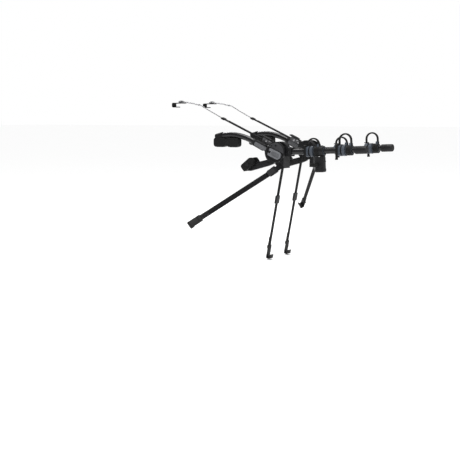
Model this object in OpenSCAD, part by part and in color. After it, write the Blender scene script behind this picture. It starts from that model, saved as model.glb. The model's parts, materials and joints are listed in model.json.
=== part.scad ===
// Strap-on carrier rack: two hubs on a cross tube, upper and lower support arms with rubber pads,
// two fold-down carrying arms with cradles, and straps with hooks at the top, sides and bottom.
// Frame: X to the right, Y towards the panel it leans on, Z up, origin at the middle of the hub axis.

/* [Hub] */
// Distance from the middle plane to the rim of each hub
hub_face_x = 198; // [194:0.5:203]
// Radius of the round hub flanges
hub_r = 50; // [49:0.5:52]
// Thickness of the outer flange, with its recess
outer_flange_t = 7.5; // [7:0.1:9]
// Depth of the recess in the outer flange
recess_d = 3.5; // [3:0.1:4]
// Width of the rim around the recess
rim_w = 5; // [4:0.1:5.5]
// Thickness of each cheek of the upper bracket
cheek_t = 5; // [4:0.1:6]
// Width of the lower arm between the cheeks
lower_arm_w = 19; // [17:0.5:21]
// Side gap between pieces that turn on the axle
side_gap = 0.5; // [0.3:0.05:0.7]
// Width of the inner flange
inner_flange_w = 33.5; // [32:0.5:36]
// Radius of the hub axle
axle_r = 8; // [7:0.1:9]
// Radius of the eyes that turn on the axle
eye_r = 33; // [31:0.5:34]
// Gap between the eyes and the rear wall
wall_gap = 3.5; // [2:0.1:4]
// Thickness of the rear wall
rear_wall_t = 5.5; // [5:0.1:7]
// Depth of the rear block below the hub axis
block_drop = 78; // [76:0.5:79.5]
// Radial clearance of a piece that turns or slides
run_clear = 0.05; // [0.03:0.01:0.08]
// Radial clearance of a piece that is pressed or glued in
seat_clear = 0.02; // [0.01:0.01:0.04]

/* [Cross tube] */
// Outer radius of the cross tube
cross_r = 16; // [14:0.5:18]
// Wall of the cross tube
cross_wall = 2; // [1.5:0.1:3]
// Length of the socket on each hub
socket_l = 14; // [10:1:16]
// Wall of the socket
socket_wall = 6; // [4:0.5:8]

/* [Hub lever] */
// Tilt of the lever and of the face plate's straight edge
lever_angle = 22.6; // [15:0.1:30]
// Length of the lever behind its pin
lever_l = 66; // [60:0.5:67]
// Width of the lever
lever_w = 37; // [34:0.5:38]
// Thickness of the lever
lever_t = 10.8; // [9:0.1:12]
// Gap under the lever
lever_gap = 0.6; // [0.4:0.05:1]
// Distance of the face plate's straight edge from the hub axis
plate_edge = 10; // [9.5:0.1:12]
// Thickness of the face plate
plate_t = 4.5; // [4:0.1:5.5]
// Radius of the lever's pin
lever_pin_r = 2.5; // [2:0.1:3]
// Width of the lug that carries the pin
lever_lug_w = 12; // [10:0.5:14]

/* [Upper arms] */
// Slope of the upper bracket
upper_angle = 25.3; // [22:0.1:27]
// Distance of the tube's axis below the hub axis
upper_drop = 14; // [12:0.5:16]
// Radius of the upper tube
upper_r = 14; // [12.5:0.1:14.5]
// Wall of the upper tube
upper_wall = 2; // [1.5:0.1:3]
// Distance from the hub axis to the start of the bracket's socket
bracket_start = 68; // [66:0.5:74]
// Distance from the hub axis to the end of the bracket's socket
bracket_end = 136; // [130:0.5:140]
// Distance from the hub axis to the start of the tube's bend
bend_start = 150; // [146:1:156]
// Radius of the tube's bend
bend_r = 298; // [280:1:320]
// Angle of the tube's bend
bend_sweep = 39.9; // [37:0.1:42]
// Height of the pad's resting face above the hub axis
pad_z = 20; // [16:0.5:24]
// Width of the upper pad
pad_w = 32; // [29:0.5:33]

/* [Lower arms] */
// Distance of the foot's pin in front of the hub axis
foot_y = 154; // [150:1:158]
// Depth of the foot's pin below the hub axis
foot_drop = 64; // [60:0.5:68]
// Length of the rubber foot
foot_l = 74; // [68:0.5:80]
// Thickness of the rubber foot
foot_h = 39; // [36:0.5:42]
// Width of each half of the rubber foot
foot_w = 22; // [18:0.5:24]
// Slope of the rubber foot, downwards to the front
foot_angle = 38.5; // [32:0.5:44]
// Radius of the foot's pin
foot_pin_r = 6; // [5:0.1:7]

/* [Carrying arms] */
// Distance of each arm's axis from the middle plane
arm_x = 158; // [154:0.5:160]
// Outer radius of the arm tube
arm_r = 14; // [12.5:0.1:14.5]
// Wall of the arm tube
arm_wall = 2; // [1.5:0.1:3]
// Upward tilt of the arms
arm_tilt = 2.7; // [0:0.1:4]
// Radius of the knuckle
knuckle_r = 15.5; // [15.2:0.1:17]
// Gap between the knuckle and the rear wall
knuckle_gap = 1; // [0.6:0.1:2]
// Thickness of each cheek of the hinge
clevis_t = 5; // [4:0.1:6]
// Radius of the arm's hinge pin
arm_pin_r = 5; // [4:0.1:6]
// Distance from the hinge pin to the tip of the end cap
arm_l = 407; // [400:1:430]
// Radius of the end cap
cap_r = 18.5; // [17.5:0.1:20]
// Length of the end cap
cap_l = 60; // [50:1:64]
// Length of the tube inside the end cap
cap_seat = 33; // [25:1:40]
// Width and length of the release button
button_w = 12; // [10:0.5:13]
// Height of the release button
button_h = 6; // [5:0.1:7]
// Travel of the release button
button_travel = 3.3; // [2.5:0.1:3.5]

/* [Cradles] */
// Distance from the hinge pin to the inner cradle
inner_s = 94.5; // [90:0.5:100]
// Distance from the arm's end back to the outer cradle
outer_back = 145.5; // [141:0.5:151]
// Length of a cradle
cradle_l = 70; // [68:0.5:72]
// Radius of the cradle's rings
ring_r = 26; // [25:0.1:26.3]
// Radius of the cradle's sleeve
sleeve_r = 18.5; // [17:0.1:19.5]
// Height of the outer strap loops above the arm's axis
outer_loop_h = 78; // [72:0.5:84]
// Height of the inner strap loops above the arm's axis
inner_loop_h = 62; // [58:0.5:70]
// Thickness of the cradle straps
loop_t = 5; // [4:0.1:5.5]
// Width of the cradle straps
loop_w = 14; // [12:0.5:16]
// Outer radius of the strap loops
loop_r = 31; // [29:0.5:32]
// Length of the sleeve that carries the anti-sway cradle
neck_l = 22; // [20:0.5:26]
// Length of the pull tail below the arm's axis
tail_l = 42; // [36:0.5:44]

/* [Anti-sway cradle] */
// Drop of its lower end below the arm's axis
sway_drop = 100; // [94:0.5:106]
// Width of its body
sway_w = 24; // [20:0.5:26]
// Length of its body along the arm
sway_l = 44; // [40:0.5:46]
// Inner radius of its strap loop
sway_loop_r = 18; // [16:0.5:19]
// Height of its strap
sway_strap_h = 16; // [12:0.5:20]
// Thickness of its strap
sway_strap_t = 3.5; // [3:0.1:4]

/* [Top straps] */
// Distance of the top straps from the middle plane
strap_x = 146; // [145.6:0.1:146.2]
// Slope of the top straps
strap_angle = 23.8; // [22:0.1:25]
// Length of the ladder strap
ladder_l = 252; // [251.5:0.1:252.5]
// Width of the ladder strap
ladder_w = 19; // [17:0.5:19.4]
// Thickness of the ladder strap
ladder_t = 4.5; // [3.5:0.1:5]
// Height of the ladder strap's ribs
rib_h = 1.6; // [1:0.1:2]
// Distance from rib to rib
rib_pitch = 7; // [6:0.5:9]
// Width of the ratchet buckle
ratchet_w = 25.4; // [25:0.1:26]
// Diameter of the steel cable
cable_d = 5; // [4.4:0.1:5.2]
// Width of the top hooks
top_hook_w = 36; // [34:0.5:44]

/* [Webbing] */
// Width of the webbing
web_w = 25; // [20:0.5:26]
// Thickness of the webbing
web_t = 2; // [1.5:0.1:2.4]
// Width of the hooks on the webbing
web_hook_w = 34; // [32:0.5:40]
// Distance of the bottom straps from the middle plane
bottom_x = 95; // [92:0.5:97]

/* [Hidden] */
$fn = 48;
eps = 0.01;

black = [0.06, 0.06, 0.065];
rubber = [0.05, 0.05, 0.05];
dark_grey = [0.2, 0.2, 0.21];
mid_grey = [0.47, 0.47, 0.5];
blue_grey = [0.38, 0.41, 0.45];
steel = [0.6, 0.6, 0.62];

// Stack of pieces on the axle, from the outer rim inwards
x_recess = hub_face_x - recess_d;
x_flange = hub_face_x - outer_flange_t;
x_cheek_out = x_flange - side_gap;
x_eye_out = x_cheek_out - cheek_t - side_gap;
x_eye_in = x_eye_out - lower_arm_w;
x_cheek_in = x_eye_in - side_gap;
x_inner_out = x_cheek_in - cheek_t - side_gap;
x_inner_in = x_inner_out - inner_flange_w;
x_upper = (x_cheek_out + x_cheek_in - cheek_t) / 2;
x_socket = x_inner_in - socket_l;

// Rear wall, block and arm hinge
wall_front_y = -(eye_r + wall_gap);
wall_rear_y = wall_front_y - rear_wall_t;
wall_h = 27;
block_front_y = -22;
block_top_z = -30;
pivot_y = wall_rear_y - knuckle_gap - knuckle_r;
clevis_gap = 0.6;
clevis_in = max(arm_r, knuckle_r - 1.5) + clevis_gap;
clevis_top = max(knuckle_r, arm_r + 1.5) + 0.5;
clevis_roof = 4.5;
clevis_drop = 20.5;
clevis_tail = 16.5;
lip_h = 3;
lip_l = 5;
slot_clear = 0.3;
knuckle_half = clevis_in - 0.4;
knuckle_shoulder = 12;
tube_start = knuckle_r + 3;
spigot_end = 50;
tube_end = arm_l - cap_l + cap_seat;

// Cradle details, measured along the arm from the cradle's front edge
ring1 = [0, 16];
ring2 = [24, 38];
ring3_start = 44;
ring3_drop = 3;
loop_front = 7;
loop_pin_gap = 7;
loop_pin_r = 2.5;
loop_eye_r = 5;
loop_foot_gap = 0.5;
tail_w = 12;
tail_t = 4;
tail_gap = 1;

// Upper pad outline and lobes
pad_front = [216, 284];
pad_rear = [294, 362];
pad_lobe_r = 14;
pad_top_z = 66;
pad_cap_r = 16.5;
pad_cap_over = 10;
pad_cap_grip = 30;

// Rounding of the rubber foot
foot_round = 11;

// Top strap start, and the ratchet along the strap
strap_start = [88, 56];
ratchet_pin_y = -44;
ratchet_pin_r = 3;
ratchet_end = 8;
ratchet_h = 18;
ratchet_plate_t = 2.4;
drum_y = -14;
drum_r = 6.5;
strap_gap = 0.3;
ratchet_lever_y = -32;
ratchet_lever_z = 7;
ratchet_lever_l = 52;
ratchet_lever_r = 5;
ladder_start = drum_y + drum_r + strap_gap;
ladder_end_l = 22;
ladder_end_h = 9;

// Route of the right steel cable, from the strap's middle plane: along the strap, over the edge, round the hook's boss and back
cable_points = [[0, 340, 165], [0, 360, 174], [1, 390, 189], [2, 420, 204], [3, 450, 220],
    [3, 464, 227], [3, 480, 231], [3, 504, 236], [5, 520, 239], [11, 545, 243], [15, 570, 246],
    [15, 590, 247], [14, 596, 247], [10, 602, 247], [5, 605, 247], [0, 606, 247], [-5, 605, 247],
    [-10, 602, 247], [-14, 596, 247], [-15, 590, 247], [-15, 570, 246], [-11, 545, 243], [-5, 520, 239],
    [-3, 504, 236], [-3, 480, 231], [-3, 474, 229.75]];
cable_sides = 8;
boss_y = 591;
boss_r = 12;
boss_h = 11.6;
top_hook_z = 239;
top_hook_t = 4;
top_hook_y = [572, 640];
top_hook_mouth = 16;
top_hook_lip = 28;
ferrule_y = [481, 503];
ferrule_r = 4.6;
strand_half = 3;

// Webbing: side strap from the rear block to its hook, bottom strap from the cross tube to its hook
side_from = [188, -32, -64];
side_to = [540, 222, -309];
side_roll = 65;
bottom_to = [90, -490];
web_clear = 0.3;
cam_from = 34;
cam_l = 46;
cam_wall = 4;
cam_h = 12;
cam_pin_r = 2;
adjust_at = 225;
adjust_l = 40;
adjust_h = 9;
hook_t = 4;
hook_l = 52;
hook_mouth = 15;
hook_lip = 22;
hook_grip = 16;

// A cylinder along X
module x_cyl(x1, x2, r, y = 0, z = 0) {
    translate([x1, y, z]) rotate([0, 90, 0]) cylinder(h = x2 - x1, r = r);
}

// An outline in Y and Z, thick along X
module x_plate(x1, x2) {
    translate([x1, 0, 0]) rotate([90, 0, 90]) linear_extrude(x2 - x1) children();
}

// A box from two corners
module box(low, high) {
    translate(low) cube(high - low);
}

// The left copy of a right-hand piece
module on_side(s) {
    if (s > 0) children();
    else mirror([1, 0, 0]) children();
}

// A rounded rectangle outline from two corners
module round_rect(low, high, r) {
    translate([low[0] + r, low[1]]) square([high[0] - low[0] - 2 * r, high[1] - low[1]]);
    translate([low[0], low[1] + r]) square([high[0] - low[0], high[1] - low[1] - 2 * r]);
    for (x = [low[0] + r, high[0] - r], y = [low[1] + r, high[1] - r]) translate([x, y]) circle(r);
}

// Frames of the arms and straps
module upper_frame() rotate([upper_angle, 0, 0]) children();
module face_frame() rotate([lever_angle, 0, 0]) children();
module arm_frame() translate([arm_x, pivot_y, 0]) rotate([-arm_tilt, 0, 0]) children();
module strap_frame() translate([0, strap_start[0], strap_start[1]]) rotate([strap_angle, 0, 0]) children();

// A ring on the arm between two distances from the hinge pin
module arm_ring(s1, s2, r) translate([0, -s1, 0]) rotate([90, 0, 0]) cylinder(h = s2 - s1, r = r);

// Webbing frames: local X runs along the strap
side_run = side_to - side_from;
side_length = norm(side_run);
side_az = atan2(side_run[1], side_run[0]);
side_el = atan2(side_run[2], norm([side_run[0], side_run[1]]));
bottom_length = norm(bottom_to);
bottom_el = atan2(bottom_to[1], bottom_to[0]);
module side_frame() translate(side_from) rotate([0, -side_el, side_az]) rotate([side_roll, 0, 0]) children();
module bottom_frame() translate([bottom_x, 0, 0]) rotate([0, 0, 90]) rotate([0, -bottom_el, 0]) children();

// A flat strip of webbing between two distances along a webbing frame
module web(a, b, grow = 0) {
    box([a, -web_w / 2 - grow, -web_t / 2 - grow], [b, web_w / 2 + grow, web_t / 2 + grow]);
}

// A J-shaped hook at the end of a webbing frame, with a sleeve that grips the strip
module web_hook(at) {
    half = web_hook_w / 2;
    difference() {
        union() {
            box([at - hook_grip, -half, -hook_t], [at, half, hook_t]);
            box([at - eps, -half, -hook_t], [at + hook_l, half, 0]);
            box([at + hook_l - hook_t, -half, -hook_t - hook_mouth - eps], [at + hook_l, half, 0]);
            box([at + hook_l - hook_lip, -half, -2 * hook_t - hook_mouth],
                [at + hook_l, half, -hook_t - hook_mouth]);
        }
        web(at - hook_grip - 1, at - 3, web_clear);
    }
}

// Tube swept along points with a smooth curve
function mid_point(p, i, t) =
    let (a = p[max(i - 1, 0)], b = p[i], c = p[i + 1], d = p[min(i + 2, len(p) - 1)])
    0.5 * (2 * b + (c - a) * t + (2 * a - 5 * b + 4 * c - d) * t * t + (3 * b - a - 3 * c + d) * t * t * t);
function smooth_path(p) = [for (i = [0 : len(p) - 2], t = [0, 0.5]) mid_point(p, i, t), p[len(p) - 1]];
function unit(v) = v / norm(v);
function path_dir(q, i) = unit(q[min(i + 1, len(q) - 1)] - q[max(i - 1, 0)]);
function ring_at(q, i, r, n) =
    let (d = path_dir(q, i), a = unit(cross([0, 0, 1], d)), b = cross(d, a))
    [for (k = [0 : n - 1]) q[i] + r * (cos(360 * k / n) * a + sin(360 * k / n) * b)];
module swept_tube(p, r, n) {
    q = smooth_path(p);
    m = len(q);
    points = [for (i = [0 : m - 1]) each ring_at(q, i, r, n)];
    sides = [for (i = [0 : m - 2], k = [0 : n - 1])
        let (a = i * n + k, b = i * n + (k + 1) % n) each [[a, a + n, b], [b, a + n, b + n]]];
    first = [for (k = [1 : n - 2]) [0, k, k + 1]];
    last = [for (k = [1 : n - 2]) [(m - 1) * n, (m - 1) * n + k + 1, (m - 1) * n + k]];
    polyhedron(points = points, faces = concat(sides, first, last));
}

// Steel tube between the hubs
module cross_tube() {
    color(black) difference() {
        x_cyl(-x_inner_in, x_inner_in, cross_r);
        x_cyl(-x_inner_in - 1, x_inner_in + 1, cross_r - cross_wall);
    }
}

// Hub casting: two flanges, rear wall and block, arm hinge cheeks, socket and ratchet lug
module hub_housing() {
    arm_lo = arm_x - clevis_in - clevis_t;
    arm_hi = arm_x + clevis_in + clevis_t;
    tail_y = pivot_y - clevis_tail;
    roof_z = clevis_top + clevis_roof;
    difference() {
        union() {
            intersection() {
                x_cyl(x_inner_in, x_inner_out, hub_r);
                box([0, wall_rear_y, -hub_r - 1], [2 * hub_face_x, hub_r + 1, hub_r + 1]);
            }
            x_cyl(x_flange, hub_face_x, hub_r);
            x_cyl(x_socket, x_inner_in + eps, cross_r + socket_wall);
            box([x_inner_in, wall_rear_y, -wall_h - 4], [x_flange + eps, wall_front_y, wall_h]);
            box([x_inner_in, wall_rear_y, -block_drop], [x_flange + eps, block_front_y, block_top_z]);
            for (x = [arm_lo, arm_hi - clevis_t])
                box([x, tail_y, -clevis_drop], [x + clevis_t, wall_rear_y + 1, roof_z]);
            box([arm_lo, tail_y, clevis_top], [arm_hi, wall_rear_y + 1, roof_z]);
            box([arm_lo, tail_y, roof_z - eps], [arm_hi, tail_y + lip_l, roof_z + lip_h]);
            box([arm_lo, wall_rear_y - lip_l, roof_z - eps], [arm_hi, wall_rear_y + 1, roof_z + lip_h]);
            ratchet_lug();
            lever_lug();
        }
        x_cyl(x_inner_in + 4, x_recess + 1, axle_r + seat_clear);
        difference() {
            x_cyl(x_recess, hub_face_x + 1, hub_r - rim_w);
            lever_lug();
        }
        x_cyl(x_socket - 1, x_inner_in, cross_r + seat_clear);
        x_cyl(arm_lo - 1, arm_hi + 1, arm_pin_r + seat_clear, pivot_y, 0);
        button_slot(slot_clear, clevis_top - 1, roof_z + 1);
        lever_pin_hole();
        side_frame() web(-4, 40, web_clear);
    }
}

// Straight-sided hole for the release button, grown by a clearance
module button_slot(grow, z1, z2) {
    half = button_w / 2 + grow;
    box([arm_x - half, pivot_y - half, z1], [arm_x + half, pivot_y + half, z2]);
}

// Tongue on the inner flange that the ratchet buckle is pinned to
module ratchet_lug() {
    lug_half = ratchet_w / 2 - ratchet_plate_t - 0.4;
    lug_r = 6;
    strap_frame() difference() {
        x_plate(strap_x - lug_half, strap_x + lug_half) {
            translate([ratchet_pin_y, -2]) circle(lug_r);
            translate([ratchet_pin_y - 24, -2 - lug_r]) square([24, 2 * lug_r]);
        }
        x_cyl(0, 2 * strap_x, ratchet_pin_r + seat_clear, ratchet_pin_y, -2);
    }
}

// Lug in the recess that carries the lever's pin
lever_mid_z = plate_edge - 2 - lever_w / 2;
lever_end_r = lever_t / 2;
lever_pin_x = x_recess + lever_gap + lever_end_r;
lever_front_y = sqrt(pow(hub_r - rim_w - 10, 2) - pow(lever_mid_z, 2)) - lever_end_r + 2;
module lever_lug() {
    half = lever_lug_w / 2;
    lug_r = lever_end_r - 0.6;
    face_frame() {
        translate([lever_pin_x, lever_front_y, lever_mid_z - half]) cylinder(h = lever_lug_w, r = lug_r);
        box([x_recess - 1, lever_front_y - lug_r, lever_mid_z - half],
            [lever_pin_x, lever_front_y + lug_r, lever_mid_z + half]);
    }
}
module lever_pin_hole() {
    face_frame() translate([lever_pin_x, lever_front_y, lever_mid_z - lever_lug_w])
        cylinder(h = 2 * lever_lug_w, r = lever_pin_r + seat_clear);
}
module lever_pins() {
    pin_half = lever_w / 2 - 2;
    color(steel) for (s = [-1, 1]) on_side(s) face_frame()
        translate([lever_pin_x, lever_front_y, lever_mid_z - pin_half])
        cylinder(h = 2 * pin_half, r = lever_pin_r);
}

// Rounded lever that flips out of the hub's face
module hub_lever() {
    y1 = lever_front_y - lever_l;
    y2 = lever_front_y + lever_end_r;
    z1 = lever_mid_z - lever_w / 2;
    z2 = lever_mid_z + lever_w / 2;
    x1 = lever_pin_x - lever_end_r;
    x2 = lever_pin_x + lever_end_r;
    notch_half = lever_lug_w / 2 + 0.4;
    pin_half = lever_w / 2 - 2;
    corner_r = 15;
    front_r = 8;
    dish_r = 11;
    face_frame() difference() {
        intersection() {
            x_plate(x1, x2) {
                round_rect([y1, z1], [y2 - front_r, z2], corner_r);
                round_rect([y1 + lever_l / 2, z1], [y2, z2], front_r);
            }
            union() {
                translate([lever_pin_x, lever_front_y, z1 - 1]) cylinder(h = lever_w + 2, r = lever_end_r);
                box([x1, y1 - 1, z1 - 1], [x2, lever_front_y, z2 + 1]);
            }
        }
        box([x1 - 1, lever_front_y - lever_end_r - 4, lever_mid_z - notch_half],
            [x2 + 1, y2 + 1, lever_mid_z + notch_half]);
        translate([lever_pin_x, lever_front_y, lever_mid_z - pin_half - 0.3])
            cylinder(h = 2 * pin_half + 0.6, r = lever_pin_r + run_clear);
        x_plate(x2 - 1.2, x2 + 1) round_rect([y1 + 6, lever_mid_z - dish_r],
            [lever_front_y - 14, lever_mid_z + dish_r], dish_r - eps);
    }
}

// Dark face plate above the lever, with two screw recesses
screw_yz = [[20.5, 30], [-2, 31]];
screw_r = [3.4, 5];
plate_clear = 0.3;
module hub_plate() {
    difference() {
        x_cyl(x_recess, x_recess + plate_t, hub_r - rim_w - plate_clear);
        face_frame() box([0, -2 * hub_r, -2 * hub_r], [2 * hub_face_x, 2 * hub_r, plate_edge]);
        for (i = [0, 1]) x_cyl(x_recess + 1.5, hub_face_x + 9, screw_r[i] + plate_clear,
            screw_yz[i][0], screw_yz[i][1]);
    }
}
module hub_screws() {
    head_h = 1.8;
    color(black) for (s = [-1, 1]) on_side(s) for (i = [0, 1]) difference() {
        x_cyl(x_recess + 1.5, x_recess + 1.5 + head_h, screw_r[i], screw_yz[i][0], screw_yz[i][1]);
        translate([x_recess + 1.5 + head_h - 1, screw_yz[i][0], screw_yz[i][1]]) rotate([0, 90, 0])
            cylinder(h = 2, r = screw_r[i] * 0.5, $fn = 6);
    }
}

// Axles through the hubs
module hub_axles() {
    color(steel) for (s = [-1, 1]) on_side(s) x_cyl(x_inner_in + 5, x_recess - 0.5, axle_r);
}

// Forked grey bracket of the upper arm, a slim bar with a spigot inside the tube
module upper_bracket() {
    fork_h = 22;
    bar_half = upper_r + 1;
    spigot_r = upper_r - upper_wall - seat_clear;
    spigot_lap = 8;
    upper_frame() difference() {
        union() {
            for (x = [x_cheek_out - cheek_t, x_cheek_in - cheek_t]) x_plate(x, x + cheek_t) {
                circle(eye_r);
                translate([0, -upper_drop - fork_h / 2]) square([bracket_start + 6, fork_h]);
            }
            x_plate(x_cheek_in - cheek_t, x_cheek_out) round_rect([bracket_start, -upper_drop - bar_half],
                [bracket_end, -upper_drop + bar_half], 6);
            translate([x_upper, bracket_end - spigot_lap, -upper_drop]) rotate([-90, 0, 0])
                cylinder(h = spigot_lap + bend_start - bracket_end - 1, r = spigot_r);
        }
        x_cyl(0, hub_face_x, axle_r + run_clear);
    }
}

// Solids along the upper tube's axis: straight from the socket, then bent downwards
module upper_straight(r) {
    upper_frame() translate([x_upper, bracket_end, -upper_drop]) rotate([-90, 0, 0])
        cylinder(h = bend_start - bracket_end, r = r);
}
module upper_bend(r) {
    upper_frame() translate([x_upper, bend_start, -upper_drop - bend_r]) rotate([90, 0, 90])
        rotate([0, 0, 90 - bend_sweep]) rotate_extrude(angle = bend_sweep) translate([bend_r, 0]) circle(r);
}
module upper_tube() {
    difference() {
        upper_straight(upper_r);
        upper_straight(upper_r - upper_wall);
    }
    difference() {
        upper_bend(upper_r);
        upper_bend(upper_r - upper_wall);
    }
}

// Frame at the far end of the upper tube, with Y along the tube
module upper_end_frame() {
    upper_frame() translate([x_upper, bend_start + bend_r * sin(bend_sweep),
        -upper_drop - bend_r * (1 - cos(bend_sweep))]) rotate([-bend_sweep, 0, 0]) children();
}

// Rubber pad with two lobes under the tube and a cap over the tube's end
module upper_pad() {
    half = pad_w / 2;
    difference() {
        union() {
            x_plate(x_upper - half, x_upper + half) {
                for (lobe = [pad_front, pad_rear])
                    round_rect([lobe[0], pad_z], [lobe[1], pad_top_z], pad_lobe_r);
                translate([pad_front[0] + 8, pad_z + 9]) square([pad_rear[1] - pad_front[0] - 20, 32]);
            }
            upper_end_frame() translate([0, -pad_cap_grip, 0]) rotate([-90, 0, 0])
                cylinder(h = pad_cap_grip + pad_cap_over, r = pad_cap_r);
        }
        upper_bend(upper_r + seat_clear);
    }
}

// Lower arm: a blade with an arc guard in front of the hub and the foot's pin
module lower_arm() {
    guard_r = [55.5, 58.5];
    pin_out = side_gap + foot_w + 0.5;
    head_t = 2.5;
    head_r = foot_pin_r + 4;
    blade = [[-8, -eye_r + 2], [20, -58], [44, -68], [foot_y - 4, -foot_drop - 33],
        [foot_y + 18, -foot_drop - 29], [foot_y + 20, -foot_drop - 12], [foot_y + 10, -foot_drop + 8],
        [foot_y - 10, -foot_drop + 8], [foot_y - 26, -foot_drop - 8], [46, -50], [24, -20]];
    difference() {
        union() {
            x_plate(x_eye_in, x_eye_out) {
                circle(eye_r);
                polygon(blade);
                intersection() {
                    difference() {
                        circle(guard_r[1]);
                        circle(guard_r[0]);
                    }
                    polygon([[0, 0], [90, 8], [90, -80], [30, -90]]);
                }
            }
            x_cyl(x_eye_in - pin_out - head_t, x_eye_out + pin_out + head_t, foot_pin_r, foot_y, -foot_drop);
            for (x = [x_eye_in - pin_out - head_t, x_eye_out + pin_out])
                x_cyl(x, x + head_t, head_r, foot_y, -foot_drop);
        }
        x_cyl(0, hub_face_x, axle_r + run_clear);
    }
}

// Rubber foot: a half on each side of the blade, which tips about the pin
module lower_pad() {
    for (x = [x_eye_in - side_gap - foot_w, x_eye_out + side_gap]) difference() {
        x_plate(x, x + foot_w) translate([foot_y, -foot_drop]) rotate(-foot_angle)
            round_rect([-foot_l / 2, -foot_h / 2], [foot_l / 2, foot_h / 2], foot_round);
        x_cyl(x - 1, x + foot_w + 1, foot_pin_r + run_clear, foot_y, -foot_drop);
    }
}

// Knuckle in the arm hinge, with a spigot inside the tube
module arm_knuckle() {
    arm_frame() difference() {
        union() {
            x_cyl(-knuckle_half, knuckle_half, knuckle_r);
            arm_ring(knuckle_shoulder, tube_start, arm_r);
            arm_ring(knuckle_shoulder, spigot_end, arm_r - arm_wall - seat_clear);
        }
        x_cyl(-knuckle_half - 1, knuckle_half + 1, arm_pin_r + run_clear);
    }
}
module arm_pins() {
    color(steel) for (s = [-1, 1]) on_side(s)
        x_cyl(arm_x - clevis_in - clevis_t, arm_x + clevis_in + clevis_t, arm_pin_r, pivot_y, 0);
}
module arm_tube() {
    arm_frame() difference() {
        arm_ring(tube_start, tube_end, arm_r);
        arm_ring(tube_start - 1, tube_end + 1, arm_r - arm_wall);
    }
}

// End cap pushed over the tube
module arm_cap() {
    round_l = 5;
    arm_frame() difference() {
        union() {
            arm_ring(arm_l - cap_l, arm_l - round_l, cap_r);
            translate([0, -arm_l + round_l + eps, 0]) rotate([90, 0, 0])
                cylinder(h = round_l + eps, r1 = cap_r, r2 = cap_r - round_l + 1);
        }
        arm_ring(arm_l - cap_l - 1, tube_end, arm_r + seat_clear);
    }
}

// Release button in the roof of the arm hinge
module arm_button() {
    z1 = clevis_top + button_travel + 0.4;
    half = button_w / 2;
    difference() {
        button_slot(0, z1, z1 + button_h);
        for (y = [-3, 0, 3]) box([arm_x - half - 1, pivot_y + y - 0.6, z1 + button_h - 0.8],
            [arm_x + half + 1, pivot_y + y + 0.6, z1 + button_h + 1]);
    }
}

// Cradle clamped round the arm, with three rings; the left inner one has a neck for the anti-sway cradle
pin_s = cradle_l - loop_pin_gap;
outer_s = arm_l - outer_back;
pin_z = ring_r + 4;
module cradle(s, neck) {
    ear_half = loop_w / 2 + 0.4;
    ear_t = 4;
    arm_frame() difference() {
        union() {
            arm_ring(s, s + cradle_l + neck, sleeve_r);
            for (ring = [ring1, ring2]) arm_ring(s + ring[0], s + ring[1], ring_r);
            arm_ring(s + ring3_start, s + cradle_l, ring_r - ring3_drop);
            for (x = [-ear_half - ear_t, ear_half]) {
                x_cyl(x, x + ear_t, loop_eye_r, -s - pin_s, pin_z);
                box([x, -s - pin_s - loop_eye_r, sleeve_r - 6], [x + ear_t, -s - pin_s + loop_eye_r, pin_z]);
            }
            x_cyl(-ear_half - ear_t, ear_half + ear_t, loop_pin_r, -s - pin_s, pin_z);
        }
        arm_ring(s - 1, s + cradle_l + neck + 1, arm_r + run_clear);
    }
}

// Outline of an arch from its foot to its round top
module arch(r, foot, bend) {
    translate([0, bend]) circle(r);
    translate([-r, foot]) square([2 * r, bend - foot]);
}

// Rubber strap: a loop hinged behind the cradle, and a pull tail beside the front ring
module cradle_strap(s, top) {
    mid = s + (loop_front + pin_s) / 2;
    foot_z = ring_r + loop_foot_gap;
    bend_z = top - loop_r;
    half = loop_w / 2;
    tail_x = ring_r + tail_gap;
    arm_frame() difference() {
        union() {
            translate([-half, 0, 0]) rotate([90, 0, 90]) linear_extrude(loop_w) {
                translate([-mid, 0]) difference() {
                    arch(loop_r, foot_z, bend_z);
                    arch(loop_r - loop_t, foot_z - 1, bend_z);
                    translate([-2 * loop_r, foot_z - 4 * loop_r]) square(4 * loop_r);
                }
                translate([-s - pin_s, pin_z]) circle(loop_eye_r - 0.4);
                translate([-s - tail_w + loop_t, foot_z]) square([tail_w, loop_t]);
            }
            box([0, -s - tail_w + loop_t, foot_z], [tail_x + tail_t, -s + loop_t, foot_z + loop_t]);
            box([tail_x, -s - tail_w + loop_t, -tail_l], [tail_x + tail_t, -s + loop_t, foot_z + loop_t]);
        }
        x_cyl(-half - 1, half + 1, loop_pin_r + run_clear, -s - pin_s, pin_z);
    }
}

// Anti-sway cradle that swings round the left inner cradle's neck
sway_s = inner_s + cradle_l + neck_l / 2;
sway_ring_l = neck_l - 2;
sway_front = sway_s + sway_ring_l / 2 - sway_l;
sway_top = ring_r + 1;
sway_strap_z = -66;
module anti_sway() {
    half = sway_w / 2;
    ring_out = sleeve_r + 5.5;
    arm_frame() difference() {
        union() {
            arm_ring(sway_s - sway_ring_l / 2, sway_s + sway_ring_l / 2, ring_out);
            box([-half + 3, -sway_s - sway_ring_l / 2, -sway_top - 8],
                [half - 3, -sway_s + sway_ring_l / 2, -sleeve_r - 1]);
            translate([-half, 0, 0]) rotate([90, 0, 90]) linear_extrude(sway_w)
                round_rect([-sway_front - sway_l, -sway_drop], [-sway_front, -sway_top], 5);
        }
        arm_ring(0, arm_l, sleeve_r + run_clear);
        translate([0, -sway_front + sway_loop_r - 5, -sway_drop - 1])
            cylinder(h = sway_drop, r = sway_loop_r - 1);
        for (z = [-sway_drop + 10, -sway_top - 14]) box([-half - 1, -sway_front - sway_l + 8, z],
            [-half + 3, -sway_front - 14, z + 5]);
    }
}

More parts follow.
